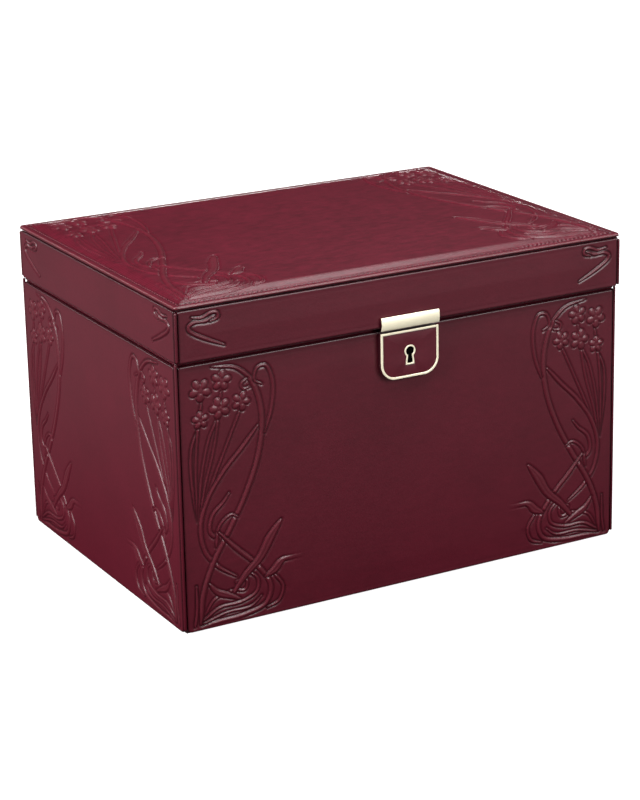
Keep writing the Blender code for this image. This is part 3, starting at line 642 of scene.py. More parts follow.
case_tall = face_place("", "front")[1][1]
case_down = spaced([0, FOLD, case_tall - FOLD, case_tall], [0.23, 0.52, 0.23])
case_across = spaced([0, FOLD, COLUMN], [0.23, 0.5])
case_column = ornament(case_across[:, None], case_down[None, :])
for face, (right, out) in SIDES.items():
    corner, size = face_place("", face)
    middle = spaced([COLUMN, size[0] - COLUMN], [6.0])[1:-1]
    across = np.concatenate([case_across, middle, size[0] - case_across[::-1]])
    leather_panel(
        f"{face}_panel",
        "case",
        corner,
        (right, (0, 0, -1), out),
        size,
        (across, case_down),
        case_column,
        fold_swell,
        (1.2, 1.2, 2.6, 2.6),
        [f"{face}_leather"],
    )
WELT_FOOT = 2.0  # the welts start above the rounded lower corners
WELT_HEAD = 1.9  # and stand up into the seam
corner_welts("", "case", piping, WELT_FOOT, WELT_HEAD)

# ---------------------------------------------------------------- rim of the case
# A strip of the same leather is turned over the boards' top edges, mitred at the corners, and stops
# under the lining.


def carried(path, profile, origin, first_axis, second_axis, out_axis):
    """A closed profile carried round a closed flat path. Path points are (p, q) on the two axes;
    profile points are (offset to the path's left, height along out_axis). At each corner the offset
    follows the mitre: the mean of the two edge normals, over the cosine of half the turn."""
    path, profile = np.asarray(path, float), np.asarray(profile, float)
    ahead = np.roll(path, -1, 0) - path
    ahead /= np.linalg.norm(ahead, axis=1)[:, None]
    normal = np.stack([-ahead[:, 1], ahead[:, 0]], 1)
    mean = normal + np.roll(normal, 1, 0)
    mitre = 2 * mean / (mean**2).sum(1)[:, None]
    flat = path[:, None, :] + mitre[:, None, :] * profile[None, :, 0, None]
    axes = np.array([first_axis, second_axis], float)
    points = np.array(origin) + MM * (flat @ axes + profile[None, :, 1, None] * np.array(out_axis, float))
    return points.reshape(-1, 3), [grid_faces(len(path), len(profile), True, True)]


def rounded_outline(low, high, radius, steps=5):
    """A closed rectangle between two corners (a, b), with quarter-circle corners."""
    turn = np.linspace(0, math.pi / 2, steps + 1)
    corners = []
    for centre, start in (
        ((high[0] - radius, high[1] - radius), 0),
        ((low[0] + radius, high[1] - radius), math.pi / 2),
        ((low[0] + radius, low[1] + radius), math.pi),
        ((high[0] - radius, low[1] + radius), 3 * math.pi / 2),
    ):
        arc = np.stack([np.cos(turn + start), np.sin(turn + start)], 1)
        corners.append(np.array(centre) + radius * arc)
    return np.vstack(corners)


def rectangle(low, high, step=6.0):
    """A closed rectangular path, its sides divided so that the leather has no long faces."""
    (x0, y0), (x1, y1) = low, high
    xs, ys = spaced([x0, x1], [step])[:-1], spaced([y0, y1], [step])[:-1]
    sides = [
        np.stack([xs, np.full(len(xs), y0)], 1),
        np.stack([np.full(len(ys), x1), ys], 1),
        np.stack([x1 + x0 - xs, np.full(len(xs), y1)], 1),
        np.stack([np.full(len(ys), x0), y1 + y0 - ys], 1),
    ]
    return np.vstack(sides)


def box_mm(node_name):
    """The low and the high corner of a CAD node's box, in mm."""
    return (np.array(corner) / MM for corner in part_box(node_name))


RIM_FOAM = 1.1  # the strip is padded up to close the seam, except at the hinges
RIM_REACH = 0.9  # where it is padded, it also reaches this far out under the lid
RIM_EDGE = 0.4  # points this near the strip's outer faces reach out
HINGES_REACH = 115.0  # half of the width that holds both hinges
HINGE_DEPTH = 16.0
low, high = box_mm("rim_binding")
_, lining_high = box_mm("lining_right")
strip = rounded_outline((0, 0), (high[0] - lining_high[0] - 0.3, high[2] - low[2]), 0.35, 3)
FLAT_AXES = ((1, 0, 0), (0, 1, 0), (0, 0, 1))
points, faces = carried(rectangle(low[:2], high[:2]), strip, (0, 0, low[2] * MM), *FLAT_AXES)
at_hinges = (points[:, 1] > (high[1] - HINGE_DEPTH) * MM) & (np.abs(points[:, 0]) < HINGES_REACH * MM)
padded_up = (points[:, 2] > (low[2] + high[2]) / 2 * MM) & ~at_hinges
points[padded_up, 2] += RIM_FOAM * MM
for axis in (0, 1):
    highest = padded_up & (points[:, axis] > (high[axis] - RIM_EDGE) * MM)
    lowest = padded_up & (points[:, axis] < (low[axis] + RIM_EDGE) * MM)
    points[highest, axis] += RIM_REACH * MM
    points[lowest, axis] -= RIM_REACH * MM
put("rim_turn_in", points, faces, "case", piping, ["rim_binding"])

# ---------------------------------------------------------------- suede lining
# Cards covered in wine suede line the walls and stand above the rim as a lip, and a soft pad of the
# same suede covers the floor. The nap catches light at a glancing angle.


def suede_finish(name, colour, tip):
    """Short nap: fibre noise at two scales for colour and bump, and sheen on the shader."""
    made, tree, shader = new_finish(name)
    place = scaled_place(tree, 1.0)
    nap = node(tree, "ShaderNodeTexNoise", in_Scale=2600.0, in_Detail=3.0, in_Roughness=0.7)
    brushed = node(tree, "ShaderNodeTexNoise", in_Scale=45.0, in_Detail=3.0, in_Distortion=0.8)
    for texture in (nap, brushed):
        tree.links.new(place, texture.inputs["Vector"])
    short = sums(tree, "MULTIPLY", nap.outputs["Fac"], 0.55)
    blend = sums(tree, "ADD", short, sums(tree, "MULTIPLY", brushed.outputs["Fac"], 0.45))
    tree.links.new(ramp(tree, blend, 0.38, 0.62, (colour, tip)), shader.inputs["Base Color"])
    shader.inputs["Roughness"].default_value = 0.9
    shader.inputs["Specular IOR Level"].default_value = 0.2
    shader.inputs["Sheen Weight"].default_value = 0.5
    shader.inputs["Sheen Roughness"].default_value = 0.4
    shader.inputs["Sheen Tint"].default_value = (0.85, 0.45, 0.5, 1)
    bumped(tree, shader, nap.outputs["Fac"], 0.5, 0.00012)
    return made


wine_suede = suede_finish("wine_suede", (0.095, 0.015, 0.024), (0.150, 0.030, 0.042))


def rounded_box(low, high, radius, swell=(0, 0, 0), step=8.0):
    """A box whose edges are rounded: each surface point is pulled to `radius` from the box shrunk by
    that radius. `swell` puffs the faces along an axis as (1 - a^2)(1 - b^2) over the face."""
    low, high = np.asarray(low, float), np.asarray(high, float)
    radius = min(radius, (high - low).min() / 2.02)
    edge = radius * (1 - np.cos(np.linspace(0, math.pi / 2, 5)))
    nodes = []
    for a, b in zip(low, high):
        inner = spaced([a + radius, b - radius], [step])
        nodes.append(np.concatenate([a + edge[:-1], inner, b - edge[:-1][::-1]]))
    points, faces, count = [], [], 0
    for axis in range(3):
        first, second = (axis + 1) % 3, (axis + 2) % 3
        p, q = np.meshgrid(nodes[first], nodes[second], indexing="ij")
        for end, value in enumerate((low[axis], high[axis])):
            face = np.empty((*p.shape, 3))
            face[..., axis], face[..., first], face[..., second] = value, p, q
            quads = grid_faces(*p.shape, first=count)
            faces.append(quads if end else quads[:, ::-1])
            points.append(face.reshape(-1, 3))
            count += p.size
    points = np.vstack(points)
    middle, half = (low + high) / 2, (high - low) / 2
    core = np.clip(points, low + radius, high - radius)
    off = points - core
    points = core + off * (radius / np.maximum(np.linalg.norm(off, axis=1), 1e-9))[:, None]
    share = 1 - np.clip(np.abs(points - middle) / half, 0, 1) ** 2
    for axis, amount in enumerate(swell):
        off = points[:, axis] - middle[axis]
        others = share[:, (axis + 1) % 3] * share[:, (axis + 2) % 3]
        points[:, axis] += amount * np.sign(off) * others**0.5 * (np.abs(off) > half[axis] * 0.5)
    _, keep, again = np.unique(np.round(points, 4), axis=0, return_index=True, return_inverse=True)
    quads = again.ravel()[np.vstack(faces)]
    solid = [len(set(q)) == 4 for q in quads.tolist()]
    return points[keep], [quads[solid]]


def covered(node_name, finish, radius, swell=(0, 0, 0), grow=(0, 0, 0, 0, 0, 0), name=None, step=8.0):
    """A rounded, covered board in the place of a CAD node."""
    low, high = box_mm(node_name)
    low, high = low - np.array(grow[:3]), high + np.array(grow[3:])
    points, faces = rounded_box(low, high, radius, swell, step)
    body = frame["nodes"][node_name]["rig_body"]
    return put(name or f"{node_name}_covered", points * MM, faces, body, finish, [node_name])


for side in ("front", "back", "left", "right"):
    covered(f"lining_{side}", wine_suede, 0.9)
covered("lining_floor", wine_suede, 0.8, (0, 0, 0.6))
for side in ("left", "right"):
    covered(f"tray_ledge_{side}", wine_suede, 1.4)
for name in ("lower_divider_deep", "lower_divider_wide"):
    covered(name, wine_suede, 1.4)

# ---------------------------------------------------------------- lock plate
# A cast block finished in wine lacquer stands on the front panel. Its face carries a bright pale gold
# outline, a leather inlay, and a gold keyhole rim round an opening backed by a matt black plug of
# painted shade.


def gold_finish(name, colour, roughness, metallic):
    """Satin pale gold plate: even metal with faint brushing and handling marks in the roughness."""
    made, tree, shader = new_finish(name)
    place = scaled_place(tree, 1.0, (260, 2600, 2600))
    brush = node(tree, "ShaderNodeTexNoise", in_Scale=1.0, in_Detail=4.0, in_Roughness=0.6)
    tree.links.new(place, brush.inputs["Vector"])
    dim = tuple(c * 0.93 for c in colour)
    tree.links.new(ramp(tree, brush.outputs["Fac"], 0.3, 0.7, (dim, colour)), shader.inputs["Base Color"])
    rough = sums(tree, "ADD", sums(tree, "MULTIPLY", brush.outputs["Fac"], 0.12), roughness - 0.06)
    tree.links.new(rough, shader.inputs["Roughness"])
    shader.inputs["Metallic"].default_value = metallic
    bumped(tree, shader, brush.outputs["Fac"], 0.25, 0.00001)
    return made


pale_gold = gold_finish("pale_gold", (1.0, 0.92, 0.69), 0.30, 0.2)


def lacquer_finish(name, colour, roughness, specular=0.5):
    """Sprayed lacquer with a slight orange peel."""
    made, tree, shader = new_finish(name)
    place = scaled_place(tree, 700)
    peel = node(tree, "ShaderNodeTexNoise", in_Scale=1.0, in_Detail=2.0)
    tree.links.new(place, peel.inputs["Vector"])
    dim = tuple(c * 0.8 for c in colour)
    tree.links.new(ramp(tree, peel.outputs["Fac"], 0.3, 0.7, (dim, colour)), shader.inputs["Base Color"])
    shader.inputs["Roughness"].default_value = roughness
    shader.inputs["Specular IOR Level"].default_value = specular
    bumped(tree, shader, peel.outputs["Fac"], 0.2, 0.00003)
    return made


wine_lacquer = lacquer_finish("wine_lacquer", (0.045, 0.005, 0.010), 0.35)
# A matt black with no gloss, for the back of the keyhole: painted shade standing for the dark inside of the
# lock.
keyhole_painted_shade = lacquer_finish("keyhole_painted_shade", (0.002, 0.002, 0.002), 0.8, 0.0)

plate_low, plate_high = box_mm("lock_plate")
PLATE_ROUND = 9.5
KEYHOLE = np.array([0.0, 142.3])  # centre of its round part, as the lock's cam


def plate_edge(inset):
    """The plate's outline: square above, quarter circles below, moved in by `inset`."""
    half, top, bottom = plate_high[0] - inset, plate_high[2] - inset, plate_low[2] + inset
    radius = PLATE_ROUND - inset
    turn = np.linspace(0, math.pi / 2, 15)
    left = np.stack([-half + radius - radius * np.cos(turn), bottom + radius - radius * np.sin(turn)], 1)
    right = left[::-1] * (-1, 1)
    return np.vstack([[(half, top), (-half, top)], left, right])


def keyhole_edge(grow):
    """A circle over a skirt that widens downwards, moved out by `grow`."""
    radius, waist, foot, drop = 2.3 + grow, 1.0 + grow, 1.6 + grow, 6.7 + grow
    lean = math.asin(waist / radius)
    turn = np.linspace(-math.pi / 2 + lean, 3 * math.pi / 2 - lean, 33)
    circle = KEYHOLE + radius * np.stack([np.cos(turn), np.sin(turn)], 1)
    return np.vstack([circle, KEYHOLE + (-foot, -drop), KEYHOLE + (foot, -drop)])


def rays(outline, angles):
    """Distance from the keyhole's centre to an outline at each angle, found on its dense samples."""
    closed = np.vstack([outline, outline[:1]]) - KEYHOLE
    t = np.linspace(0, 1, 60)[:-1, None, None]
    dense = (closed[:-1] * (1 - t) + closed[1:] * t).reshape(-1, 2)
    turn, reach = np.arctan2(dense[:, 1], dense[:, 0]), np.hypot(dense[:, 0], dense[:, 1])
    order = np.argsort(turn)
    return np.interp(angles, turn[order], reach[order], period=2 * math.pi)


corner_points = np.vstack([plate_edge(0), plate_edge(1.2), keyhole_edge(0), keyhole_edge(1.3)]) - KEYHOLE
corner_angles, even_angles = np.arctan2(*corner_points.T[::-1]), np.linspace(-math.pi, math.pi, 181)[:-1]
plate_angles = np.unique(np.round(np.concatenate([corner_angles, even_angles]), 4))


def plate_ring(name, layers, finish, stands_for=()):
    """A ring round the keyhole. Each layer is (outline, y): the closed loop of layers is carried round
    the keyhole's centre by the angle of sight."""
    spokes = np.stack([np.cos(plate_angles), np.sin(plate_angles)], 1)
    points = []
    for outline, y in layers:
        flat = KEYHOLE + spokes * rays(outline, plate_angles)[:, None]
        points.append(np.stack([flat[:, 0], np.full(len(flat), y), flat[:, 1]], 1))
    points = np.vstack(points) * MM
    faces = [grid_faces(len(layers), len(plate_angles), True, True)]
    return put(name, points, faces, "case", finish, stands_for)


def lip_layers(outer, inner, back, front, fold):
    """Four corners of a ring's section, the front two rounded by `fold`."""
    turn = np.linspace(0, math.pi / 2, 5)
    rise = [(outer(fold * (1 - np.cos(a))), front + fold * (1 - np.sin(a))) for a in turn]
    drop = [(inner(fold * (1 - np.sin(a))), front + fold * (1 - np.cos(a))) for a in turn]
    return [(outer(0), back)] + rise + drop + [(inner(0), back)]


plate_face, plate_back = plate_low[1], plate_high[1]
PLATE_EDGE = 1.3  # width of the gold outline
plate_ring(
    "lock_plate_block",
    lip_layers(
        lambda d: plate_edge(0.12 + d),
        lambda d: keyhole_edge(0.4 + d),
        plate_back,
        plate_face + 0.75,
        0.3,
    ),
    wine_lacquer,
    ["lock_plate"],
)
plate_ring(
    "lock_plate_outline",
    lip_layers(plate_edge, lambda d: plate_edge(PLATE_EDGE - d), plate_face + 0.8, plate_face, 0.25),
    pale_gold,
)
plate_ring(
    "keyhole_rim",
    lip_layers(
        lambda d: keyhole_edge(1.25 - d),
        lambda d: keyhole_edge(0.35 + d),
        plate_face + 0.7,
        plate_face - 0.05,
        0.2,
    ),
    pale_gold,
)
plate_ring(
    "plate_inlay",
    lip_layers(
        lambda d: plate_edge(1.35 + d),
        lambda d: keyhole_edge(1.35 + d),
        plate_face + 0.75,
        plate_face + 0.3,
        0.2,
    ),
    burgundy,
    ["lock_plate_inlay"],
)
# The plug below is a black piece of painted shade where the keyhole shows the lock's dark inside.
SHADE_DEPTH = 0.55  # how far the keyhole's dark back lies behind the plate's face
shade = keyhole_edge(0.3)
count = len(shade)
shade_back, shade_front = plate_back + 0.1, plate_face + SHADE_DEPTH
points = np.vstack(
    [
        np.stack([shade[:, 0], np.full(count, shade_back), shade[:, 1]], 1),
        np.stack([shade[:, 0], np.full(count, shade_front), shade[:, 1]], 1),
        [(0, shade_back, KEYHOLE[1] - 1), (0, shade_front, KEYHOLE[1] - 1)],
    ]
)
faces = capped(2, count)
put("keyhole_shade", points * MM, faces, "case", keyhole_painted_shade, smooth=False)

# ---------------------------------------------------------------- lock works
# Inside the front board: a pressed zinc-plated case and cover, a turning cam and a sliding bolt.


def steel_finish(name, colour, roughness):
    """Zinc plate: grey metal with a rolling grain in X and cloudy passivation."""
    made, tree, shader = new_finish(name)
    rolled = node(tree, "ShaderNodeTexNoise", in_Scale=1.0, in_Detail=4.0)
    cloud = node(tree, "ShaderNodeTexNoise", in_Scale=320.0, in_Detail=3.0)
    tree.links.new(scaled_place(tree, 1.0, (150, 2500, 2500)), rolled.inputs["Vector"])
    tree.links.new(scaled_place(tree, 1.0), cloud.inputs["Vector"])
    dim = tuple(c * 0.8 for c in colour)
    tree.links.new(ramp(tree, cloud.outputs["Fac"], 0.3, 0.7, (dim, colour)), shader.inputs["Base Color"])
    rough = sums(tree, "ADD", sums(tree, "MULTIPLY", rolled.outputs["Fac"], 0.2), roughness - 0.1)
    tree.links.new(rough, shader.inputs["Roughness"])
    shader.inputs["Metallic"].default_value = 1.0
    bumped(tree, shader, rolled.outputs["Fac"], 0.2, 0.00002)
    return made


zinc = steel_finish("zinc_plate", (0.62, 0.61, 0.58), 0.36)
refinish(zinc, "lock_case", "lock_cover", "lock_cam", "lock_bolt", "strike_tongue")

# ---------------------------------------------------------------- hinges
# Two butt hinges of gold-plated brass lie in the seam at the back: two knuckles on the case's leaf,
# one on the lid's, a steel pin with domed ends, and countersunk screws through each leaf.

pin_low, pin_high = box_mm("hinge_pin_left")
HINGE_Y, HINGE_Z = (pin_low[1] + pin_high[1]) / 2, (pin_low[2] + pin_high[2]) / 2
KNUCKLE = 2.8


def turned(stops, middle_y, middle_z, sides=28):
    """A shape turned about an axis along X, from (x, radius) stops; a stop of radius 0 closes it."""
    turn = np.linspace(0, 2 * math.pi, sides + 1)[:-1]
    x, radius = np.array([s for s in stops if s[1] > 0]).T
    rows = np.stack(
        [
            np.broadcast_to(x[:, None], (len(x), sides)),
            middle_y + radius[:, None] * np.cos(turn),
            middle_z + radius[:, None] * np.sin(turn),
        ],
        -1,
    ).reshape(-1, 3)
    points = np.vstack([rows, (x[0], middle_y, middle_z), (x[-1], middle_y, middle_z)])
    return points, capped(len(x), sides)


def joined(*solids):
    """Several closed shapes as one set of points and faces."""
    points, faces, count = [], [], 0
    for p, groups in solids:
        sign = enclosed(p - p.mean(0), groups)
        faces += [(g if sign > 0 else g[:, ::-1]) + count for g in groups]
        points.append(p)
        count += len(p)
    return np.vstack(points), faces


def knuckle(left, right):
    """A barrel with eased ends."""
    ease = 0.3
    stops = [(left, KNUCKLE - ease), (left + ease * 0.3, KNUCKLE - ease * 0.3), (left + ease, KNUCKLE)]
    stops += [(left + right - x, r) for x, r in reversed(stops)]
    return turned(stops, HINGE_Y, HINGE_Z)


LEAF_OFF = 0.4  # height of a leaf's middle above or below the pin
LEAF_HALF = 0.24  # half its thickness
KNUCKLE_SHARE = 0.3  # of the leaf's length, for each outer knuckle
KNUCKLE_GAP = 0.3
for word in ("left", "right"):
    for part in ("case", "lid"):
        replaced = f"hinge_leaf_{part}_{word}"
        low, high = box_mm(replaced)
        side = -1 if part == "case" else 1
        level = HINGE_Z + side * LEAF_OFF
        share = KNUCKLE_SHARE * (high[0] - low[0])
        if part == "case":
            left, right = low[0], high[0]
            barrels = [knuckle(left, left + share), knuckle(right - share, right)]
        else:
            left, right = low[0] + share + KNUCKLE_GAP, high[0] - share - KNUCKLE_GAP
            barrels = [knuckle(left, right)]
        near, far = (left, low[1], level - LEAF_HALF), (right, HINGE_Y - 0.6, level + LEAF_HALF)
        points, faces = joined(rounded_box(near, far, 0.2, step=3), *barrels)
        put(f"hinge_{part}_{word}", points * MM, faces, part, pale_gold, [replaced])
    low, high = box_mm(f"hinge_pin_{word}")
    dome = [(low[0] - 0.7, 0.35), (low[0] - 0.5, 0.9), (low[0] - 0.05, 1.35), (low[0], 0.95)]
    stops = dome + [(low[0] + high[0] - x, r) for x, r in reversed(dome)]
    points, faces = turned(stops, HINGE_Y, HINGE_Z, 20)
    put(f"hinge_pin_{word}_domed", points * MM, faces, "case", zinc, [f"hinge_pin_{word}"])

# ---------------------------------------------------------------- lid box
# The lid's walls are covered with leather that turns in under their lower edges, and its four skirts
# carry a small lashing tendril at each end.

for side in ("front", "back", "left", "right"):
    covered(f"lid_{side}_board", piping, 0.7)

lid_tall = face_place("lid_", "front")[1][1]
lid_down = spaced([0, FOLD, lid_tall - FOLD, lid_tall], [0.23, 0.45, 0.23])
lid_across = spaced([0, FOLD, 32.0], [0.23, 0.45])
lid_column = whiplash(lid_across[:, None], lid_down[None, :])
for face, (right, out) in SIDES.items():
    corner, size = face_place("lid_", face)
    middle = spaced([32.0, size[0] - 32.0], [3.0])[1:-1]
    across = np.concatenate([lid_across, middle, size[0] - lid_across[::-1]])
    leather_panel(
        f"lid_{face}_skirt",
        "lid",
        corner,
        (right, (0, 0, -1), out),
        size,
        (across, lid_down),
        lid_column,
        fold_swell,
        (1.0, 1.0, 1.0, 1.0),
        [f"lid_{face}_leather"],
    )
LID_WELT_INSET = 0.7
corner_welts("lid_", "lid", piping, LID_WELT_INSET, -LID_WELT_INSET)

# ---------------------------------------------------------------- lid top
# A leather panel over thin foam covers the whole lid. It is stitched down all round, so it dips at
# the thread, puckers between the stitches, and swells inside them; the ornament is pressed into
# both ends, stretched to the lid's depth.

STITCH_INSET = 4.6
STITCH_PITCH = 2.9
top_low, top_high = (np.array(v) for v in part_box("lid_top_leather"))
top_size = ((top_high[0] - top_low[0]) / MM, (top_high[1] - top_low[1]) / MM, (top_high[2] - top_low[2]) / MM)


def quilted(x, y, inset):
    """Dip at the thread, a pucker at each stitch, a swell that rises over 9 mm, and fine creases
    that run in from the two ends."""
    from_end = np.minimum(x, top_size[0] - x)
    along = np.where(from_end < np.minimum(y, top_size[1] - y), y, x)
    thread = np.exp(-(((inset - STITCH_INSET) / 1.0) ** 2))
    beside = np.exp(-(((inset - STITCH_INSET) / 1.7) ** 2))
    pucker = 0.13 * np.cos(2 * math.pi * along / STITCH_PITCH) * beside
    crease = 0.14 * np.cos(2 * math.pi * y / 2.3) * np.exp(-(((from_end - 7.5) / 3.0) ** 2))
    return SWELL * soft_step((inset - STITCH_INSET + 0.8) / 9.0) - 0.6 * thread + pucker + crease


SWELL = 1.9
ORNAMENT_TALL = 156.0
TOP_FOLD = 0.8
TOP_COLUMN = 66.0
down_stops = [0, TOP_FOLD, 13, top_size[1] - 13, top_size[1] - TOP_FOLD, top_size[1]]
top_down = spaced(down_stops, [0.2, 0.5, 0.66, 0.5, 0.2])
top_across = spaced([0, TOP_FOLD, TOP_COLUMN], [0.2, 0.6])
stretch = (top_size[1] - 10) / ORNAMENT_TALL
top_column = ornament((top_across[:, None] - 4.5), (top_down[None, :] - 5.0) / stretch)
half_pitch = STITCH_PITCH / 2
first, last = math.ceil(TOP_COLUMN / half_pitch), int((top_size[0] - TOP_COLUMN) / half_pitch)
middle = np.arange(first, last) * half_pitch
top_panel = leather_panel(
    "lid_top_panel",
    "lid",
    (top_low[0], top_high[1], top_low[2]),
    ((1, 0, 0), (0, -1, 0), (0, 0, 1)),
    top_size,
    (np.concatenate([top_across, middle, top_size[0] - top_across[::-1]]), top_down),
    top_column,
    quilted,
    (2.4, 2.4, 2.4, 2.4),
    ["lid_top_leather"],
    TOP_FOLD,
    # The lid top's folded edge is not darkened: its lip is lightened as a painted highlight.
    edge=0.0,
    finish=creased,
)

# ---------------------------------------------------------------- stitching
# Waxed wine thread, pulled down into the leather. Each stitch is a short capsule that dips at both
# ends into its holes.


def thread_finish(name, colour):
    """Twisted thread: a fine wave along the object's diagonal stands for the plies."""
    made, tree, shader = new_finish(name)
    ply = node(tree, "ShaderNodeTexWave", in_Scale=1.0, in_Distortion=2.0, bands_direction="DIAGONAL")
    tree.links.new(scaled_place(tree, 2200), ply.inputs["Vector"])
    dim = tuple(c * 0.5 for c in colour)
    tree.links.new(ramp(tree, ply.outputs["Fac"], 0.2, 0.8, (dim, colour)), shader.inputs["Base Color"])
    shader.inputs["Roughness"].default_value = 0.55
    bumped(tree, shader, ply.outputs["Fac"], 0.5, 0.00008)
    return made


wine_thread = thread_finish("wine_thread", (0.22, 0.035, 0.055))


def stitches(centres, along, side, up, length=2.2, radius=0.3):
    """Capsules on three axes: a six-sided ring of radius sqrt(1 - t^2) at five stops t along each
    stitch, arched upwards by 1 - t^2."""
    stops = np.array([-0.97, -0.6, 0.0, 0.6, 0.97])
    turn = np.linspace(0, 2 * math.pi, 7)[:-1]
    girth = radius * np.sqrt(1 - stops**2)[:, None]
    a = np.broadcast_to(stops[:, None] * length / 2, (5, 6))
    b = girth * np.cos(turn)
    c = girth * np.sin(turn) + 0.35 * radius * (1 - stops**2)[:, None]
    ends = [(-length / 2, 0, 0), (length / 2, 0, 0)]
    local = np.concatenate([np.stack([a, b, c], -1).reshape(-1, 3), ends])
    axes = np.stack(np.broadcast_arrays(along, side, up), -2)
    points = centres[:, None, :] + local @ axes
    first = (np.arange(len(centres)) * len(local))[:, None, None]
    faces = [(group[None] + first).reshape(-1, group.shape[1]) for group in capped(5, 6)]
    return points.reshape(-1, 3), faces


def seam_around(low, high, level, pitch):
    """Stitch centres and directions along the four sides of a rectangle, half a pitch off each of
    its own multiples of the pitch."""
    centres, along = [], []
    for axis in (0, 1):
        other = 1 - axis
        steps = np.arange(math.ceil(low[axis] / pitch), int(high[axis] / pitch)) * pitch + pitch / 2
        for value in (low[other], high[other]):
            row = np.empty((len(steps), 3))
            row[:, axis], row[:, other], row[:, 2] = steps, value, level
            centres.append(row)
            along.append(np.tile(np.eye(3)[axis], (len(steps), 1)))
    return np.vstack(centres), np.vstack(along)


seam_low, seam_high = (STITCH_INSET, STITCH_INSET), (top_size[0] - STITCH_INSET, top_size[1] - STITCH_INSET)
centres, along = seam_around(seam_low, seam_high, top_size[2] - 0.55, STITCH_PITCH)
centres = centres * (1, -1, 1) + np.array([top_low[0], top_high[1], top_low[2]]) / MM
up = np.array([0.0, 0.0, 1.0])
points, faces = stitches(centres, along, np.cross(up, along), up)
put("lid_top_stitches", points * MM, faces, "lid", wine_thread)

# ---------------------------------------------------------------- strike bar
# A lacquered bar screwed to the lid's lower front edge from inside, faced with a plain, crowned strip
# of pale gold.


def along_x(profile, low, high, ease=0.2):
    """A closed (y, z) profile run along X from `low` to `high`, drawn in by `ease` at its two ends."""
    profile = np.asarray(profile, float)
    middle = profile.mean(0)
    reach = np.abs(profile - middle).max(0)
    steps = [(low, 1), (low + ease * 0.3, 0.3), (low + ease, 0)]
    steps += [(high - ease, 0), (high - ease * 0.3, 0.3), (high, 1)]
    rows = []
    for x, draw in steps:
        ring = middle + (profile - middle) * (1 - ease * draw / reach)
        rows.append(np.column_stack([np.full(len(ring), x), ring]))
    points = np.vstack([*rows, [(low, *middle)], [(high, *middle)]])
    return points, capped(len(rows), len(profile))


bar_low, bar_high = box_mm("strike_bar")
BAR_CROWN = 0.7
BAR_STRIP = 0.5
BAR_FRONT = bar_low[1] + 0.9
lift = np.linspace(-1, 1, 15)
bar_levels = (bar_low[2] + bar_high[2]) / 2 + lift * (bar_high[2] - bar_low[2]) / 2
crown = BAR_FRONT + BAR_CROWN * lift**2
strip_back = np.column_stack([crown + BAR_STRIP, bar_levels])[::-1]
strip = np.vstack([np.column_stack([crown, bar_levels]), strip_back])
points, faces = along_x(strip, bar_low[0], bar_high[0], 0.15)
put("strike_bar_strip", points * MM, faces, "lid", pale_gold, ["strike_bar"])
inner = slice(1, -1)
block = np.vstack(
    [
        np.column_stack([crown + BAR_STRIP + 0.02, bar_levels])[inner],
        [(bar_high[1], bar_levels[-2]), (bar_high[1], bar_levels[1])],
    ]
)
points, faces = along_x(block, bar_low[0] + 0.25, bar_high[0] - 0.25, 0.15)
put("strike_bar_block", points * MM, faces, "lid", wine_lacquer)

# ---------------------------------------------------------------- lid lining and mirror
# The lid is lined with a thin foam pad under suede. A bevelled mirror sits on it in a frame of
# folded leather, stitched along its inner edge.


def swelled(piece, cap, pressure=4.0, frames=20, held=None):
    """Blows a closed cloth up by air pressure, and keeps each point within `cap` of where it was.
    Points where `held` is 1 stay fixed."""
    mesh = piece.data
    group = piece.vertex_groups.new(name="held")
    for index in np.flatnonzero(held).tolist():
        group.add([index], 1.0, "REPLACE")
    cloth = piece.modifiers.new("cloth", "CLOTH")
    cloth.settings.use_pressure = True
    cloth.settings.uniform_pressure_force = pressure
    cloth.settings.effector_weights.gravity = 0
    cloth.settings.vertex_group_mass = "held"
    cloth.settings.quality = 6
    cloth.point_cache.frame_end = frames
    scene = bpy.context.scene
    for step in range(1, frames + 1):
        scene.frame_set(step)
    shaped = piece.evaluated_get(bpy.context.evaluated_depsgraph_get()).data
    before, after = np.empty(len(mesh.vertices) * 3), np.empty(len(mesh.vertices) * 3)
    mesh.vertices.foreach_get("co", before)
    shaped.vertices.foreach_get("co", after)
    before, move = before.reshape(-1, 3), (after - before).reshape(-1, 3)
    piece.modifiers.remove(cloth)
    scene.frame_set(1)
    length = np.linalg.norm(move, axis=1)[:, None]
    reach = cap * np.tanh(length / cap)
    mesh.vertices.foreach_set("co", (before + move * reach / np.maximum(length, 1e-9)).ravel())
    mesh.update()


def smoothed(piece):
    """One subdivision, the same in the view and the render."""
    piece.modifiers.new("smooth", "SUBSURF").levels = 1
    piece.modifiers["smooth"].render_levels = 1


def points_of(piece):
    """A mesh's points in mm."""
    flat = np.empty(len(piece.data.vertices) * 3)
    piece.data.vertices.foreach_get("co", flat)
    return flat.reshape(-1, 3) / MM


frame_low, frame_high = box_mm("mirror_frame")
PAD_GROW = (-0.8, -0.8, 0, -0.8, -0.8, 0)
pad = covered("lid_lining", wine_suede, 1.2, grow=PAD_GROW, name="lid_pad", step=4.0)
place = points_of(pad)
under_frame = (np.abs(place[:, 0]) < frame_high[0] + 2) & (place[:, 1] > frame_low[1] - 2)
under_frame &= place[:, 1] < frame_high[1] + 2
swelled(pad, 0.0022, held=under_frame | (place[:, 2] > place[:, 2].max() - 0.5))
smoothed(pad)

